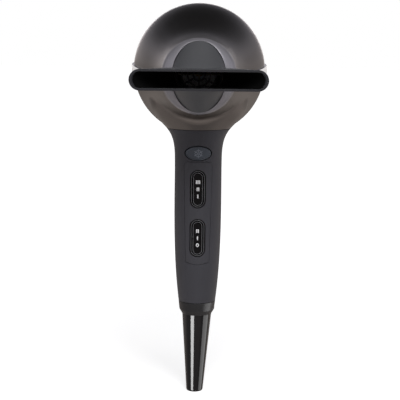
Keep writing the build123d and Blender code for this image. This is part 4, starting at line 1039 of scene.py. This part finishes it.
def soft_light(name, location, target, size_x, size_y, radiance, only=()):
    """Rectangular area light that faces a target, its brightness given as radiance."""
    lamp = bpy.data.lights.new(name, "AREA")
    lamp.shape = "RECTANGLE"
    lamp.size = size_x
    lamp.size_y = size_y
    lamp.energy = radiance * math.pi * size_x * size_y
    holder = bpy.data.objects.new(name, lamp)
    bpy.context.collection.objects.link(holder)
    holder.location = location
    holder.rotation_euler = (Vector(target) - Vector(location)).to_track_quat("-Z", "Y").to_euler()
    if only:
        flagged = bpy.data.collections.new(name + "_falls_on")
        for node_name in only:
            flagged.objects.link(NODES[node_name])
        holder.light_linking.receiver_collection = flagged


FOOT = ("cord_sleeve", "cord_collar")
TRIMS = ("side_trim_left", "side_trim_right")
LAMPS = (
    # name, place, aim, width, height, radiance, what it falls on
    ("key_high", (0.06, -0.50, 1.05), (0, 0, -0.05), 0.6, 0.5, 1.1, ()),
    ("key_front", (0.10, -0.85, 0.75), (0, 0, -0.05), 0.6, 0.5, 9.6, ()),
    ("left_strip", (-0.53, -0.76, -0.45), (0, 0, -0.16), 0.46, 1.3, 20.0, ("cord_sleeve",)),
    ("right_card", (0.90, -0.12, -0.43), (0, 0, -0.16), 0.85, 0.9, 3.4, FOOT),
    ("trim_card_left", (-0.75, 1.1, 0.0), (-0.05, 0, 0.1), 1.0, 0.7, 0.5, TRIMS),
    ("trim_card_right", (0.75, 1.1, 0.0), (0.05, 0, 0.1), 1.0, 0.7, 0.5, TRIMS),
)
for lamp_values in LAMPS:
    soft_light(*lamp_values)
print("lamps:", len(LAMPS))

# %% [markdown]
# The camera looks at the mouth of the nozzle from a little above, over a metre away. From there a
# long lens fills the frame with the dryer, and its near and far parts keep nearly one scale. The
# camera is rolled by a little over half a degree.

# %% camera
CAMERA_DISTANCE = 1.1
CAMERA_ELEVATION = math.radians(7.5)
CAMERA_ROLL = math.radians(0.6)
CAMERA_TARGET = mm(1.6, 0, 0)
CAMERA_LENS = 132.0
CAMERA_SENSOR = 36.0
camera_data = bpy.data.cameras.new("studio_camera")
camera_data.lens = CAMERA_LENS
camera_data.sensor_width = CAMERA_SENSOR
camera = bpy.data.objects.new("studio_camera", camera_data)
bpy.context.collection.objects.link(camera)
away = Vector((0, -math.cos(CAMERA_ELEVATION), math.sin(CAMERA_ELEVATION)))
camera.location = CAMERA_TARGET + away * CAMERA_DISTANCE
level = (-away).to_track_quat("-Z", "Y").to_matrix().to_4x4()
roll = Matrix.Rotation(CAMERA_ROLL, 4, "Z")
camera.matrix_world = Matrix.Translation(camera.location) @ level @ roll
bpy.context.scene.camera = camera
bpy.context.scene.view_settings.view_transform = "Standard"
print("camera at", [round(value, 3) for value in camera.location])
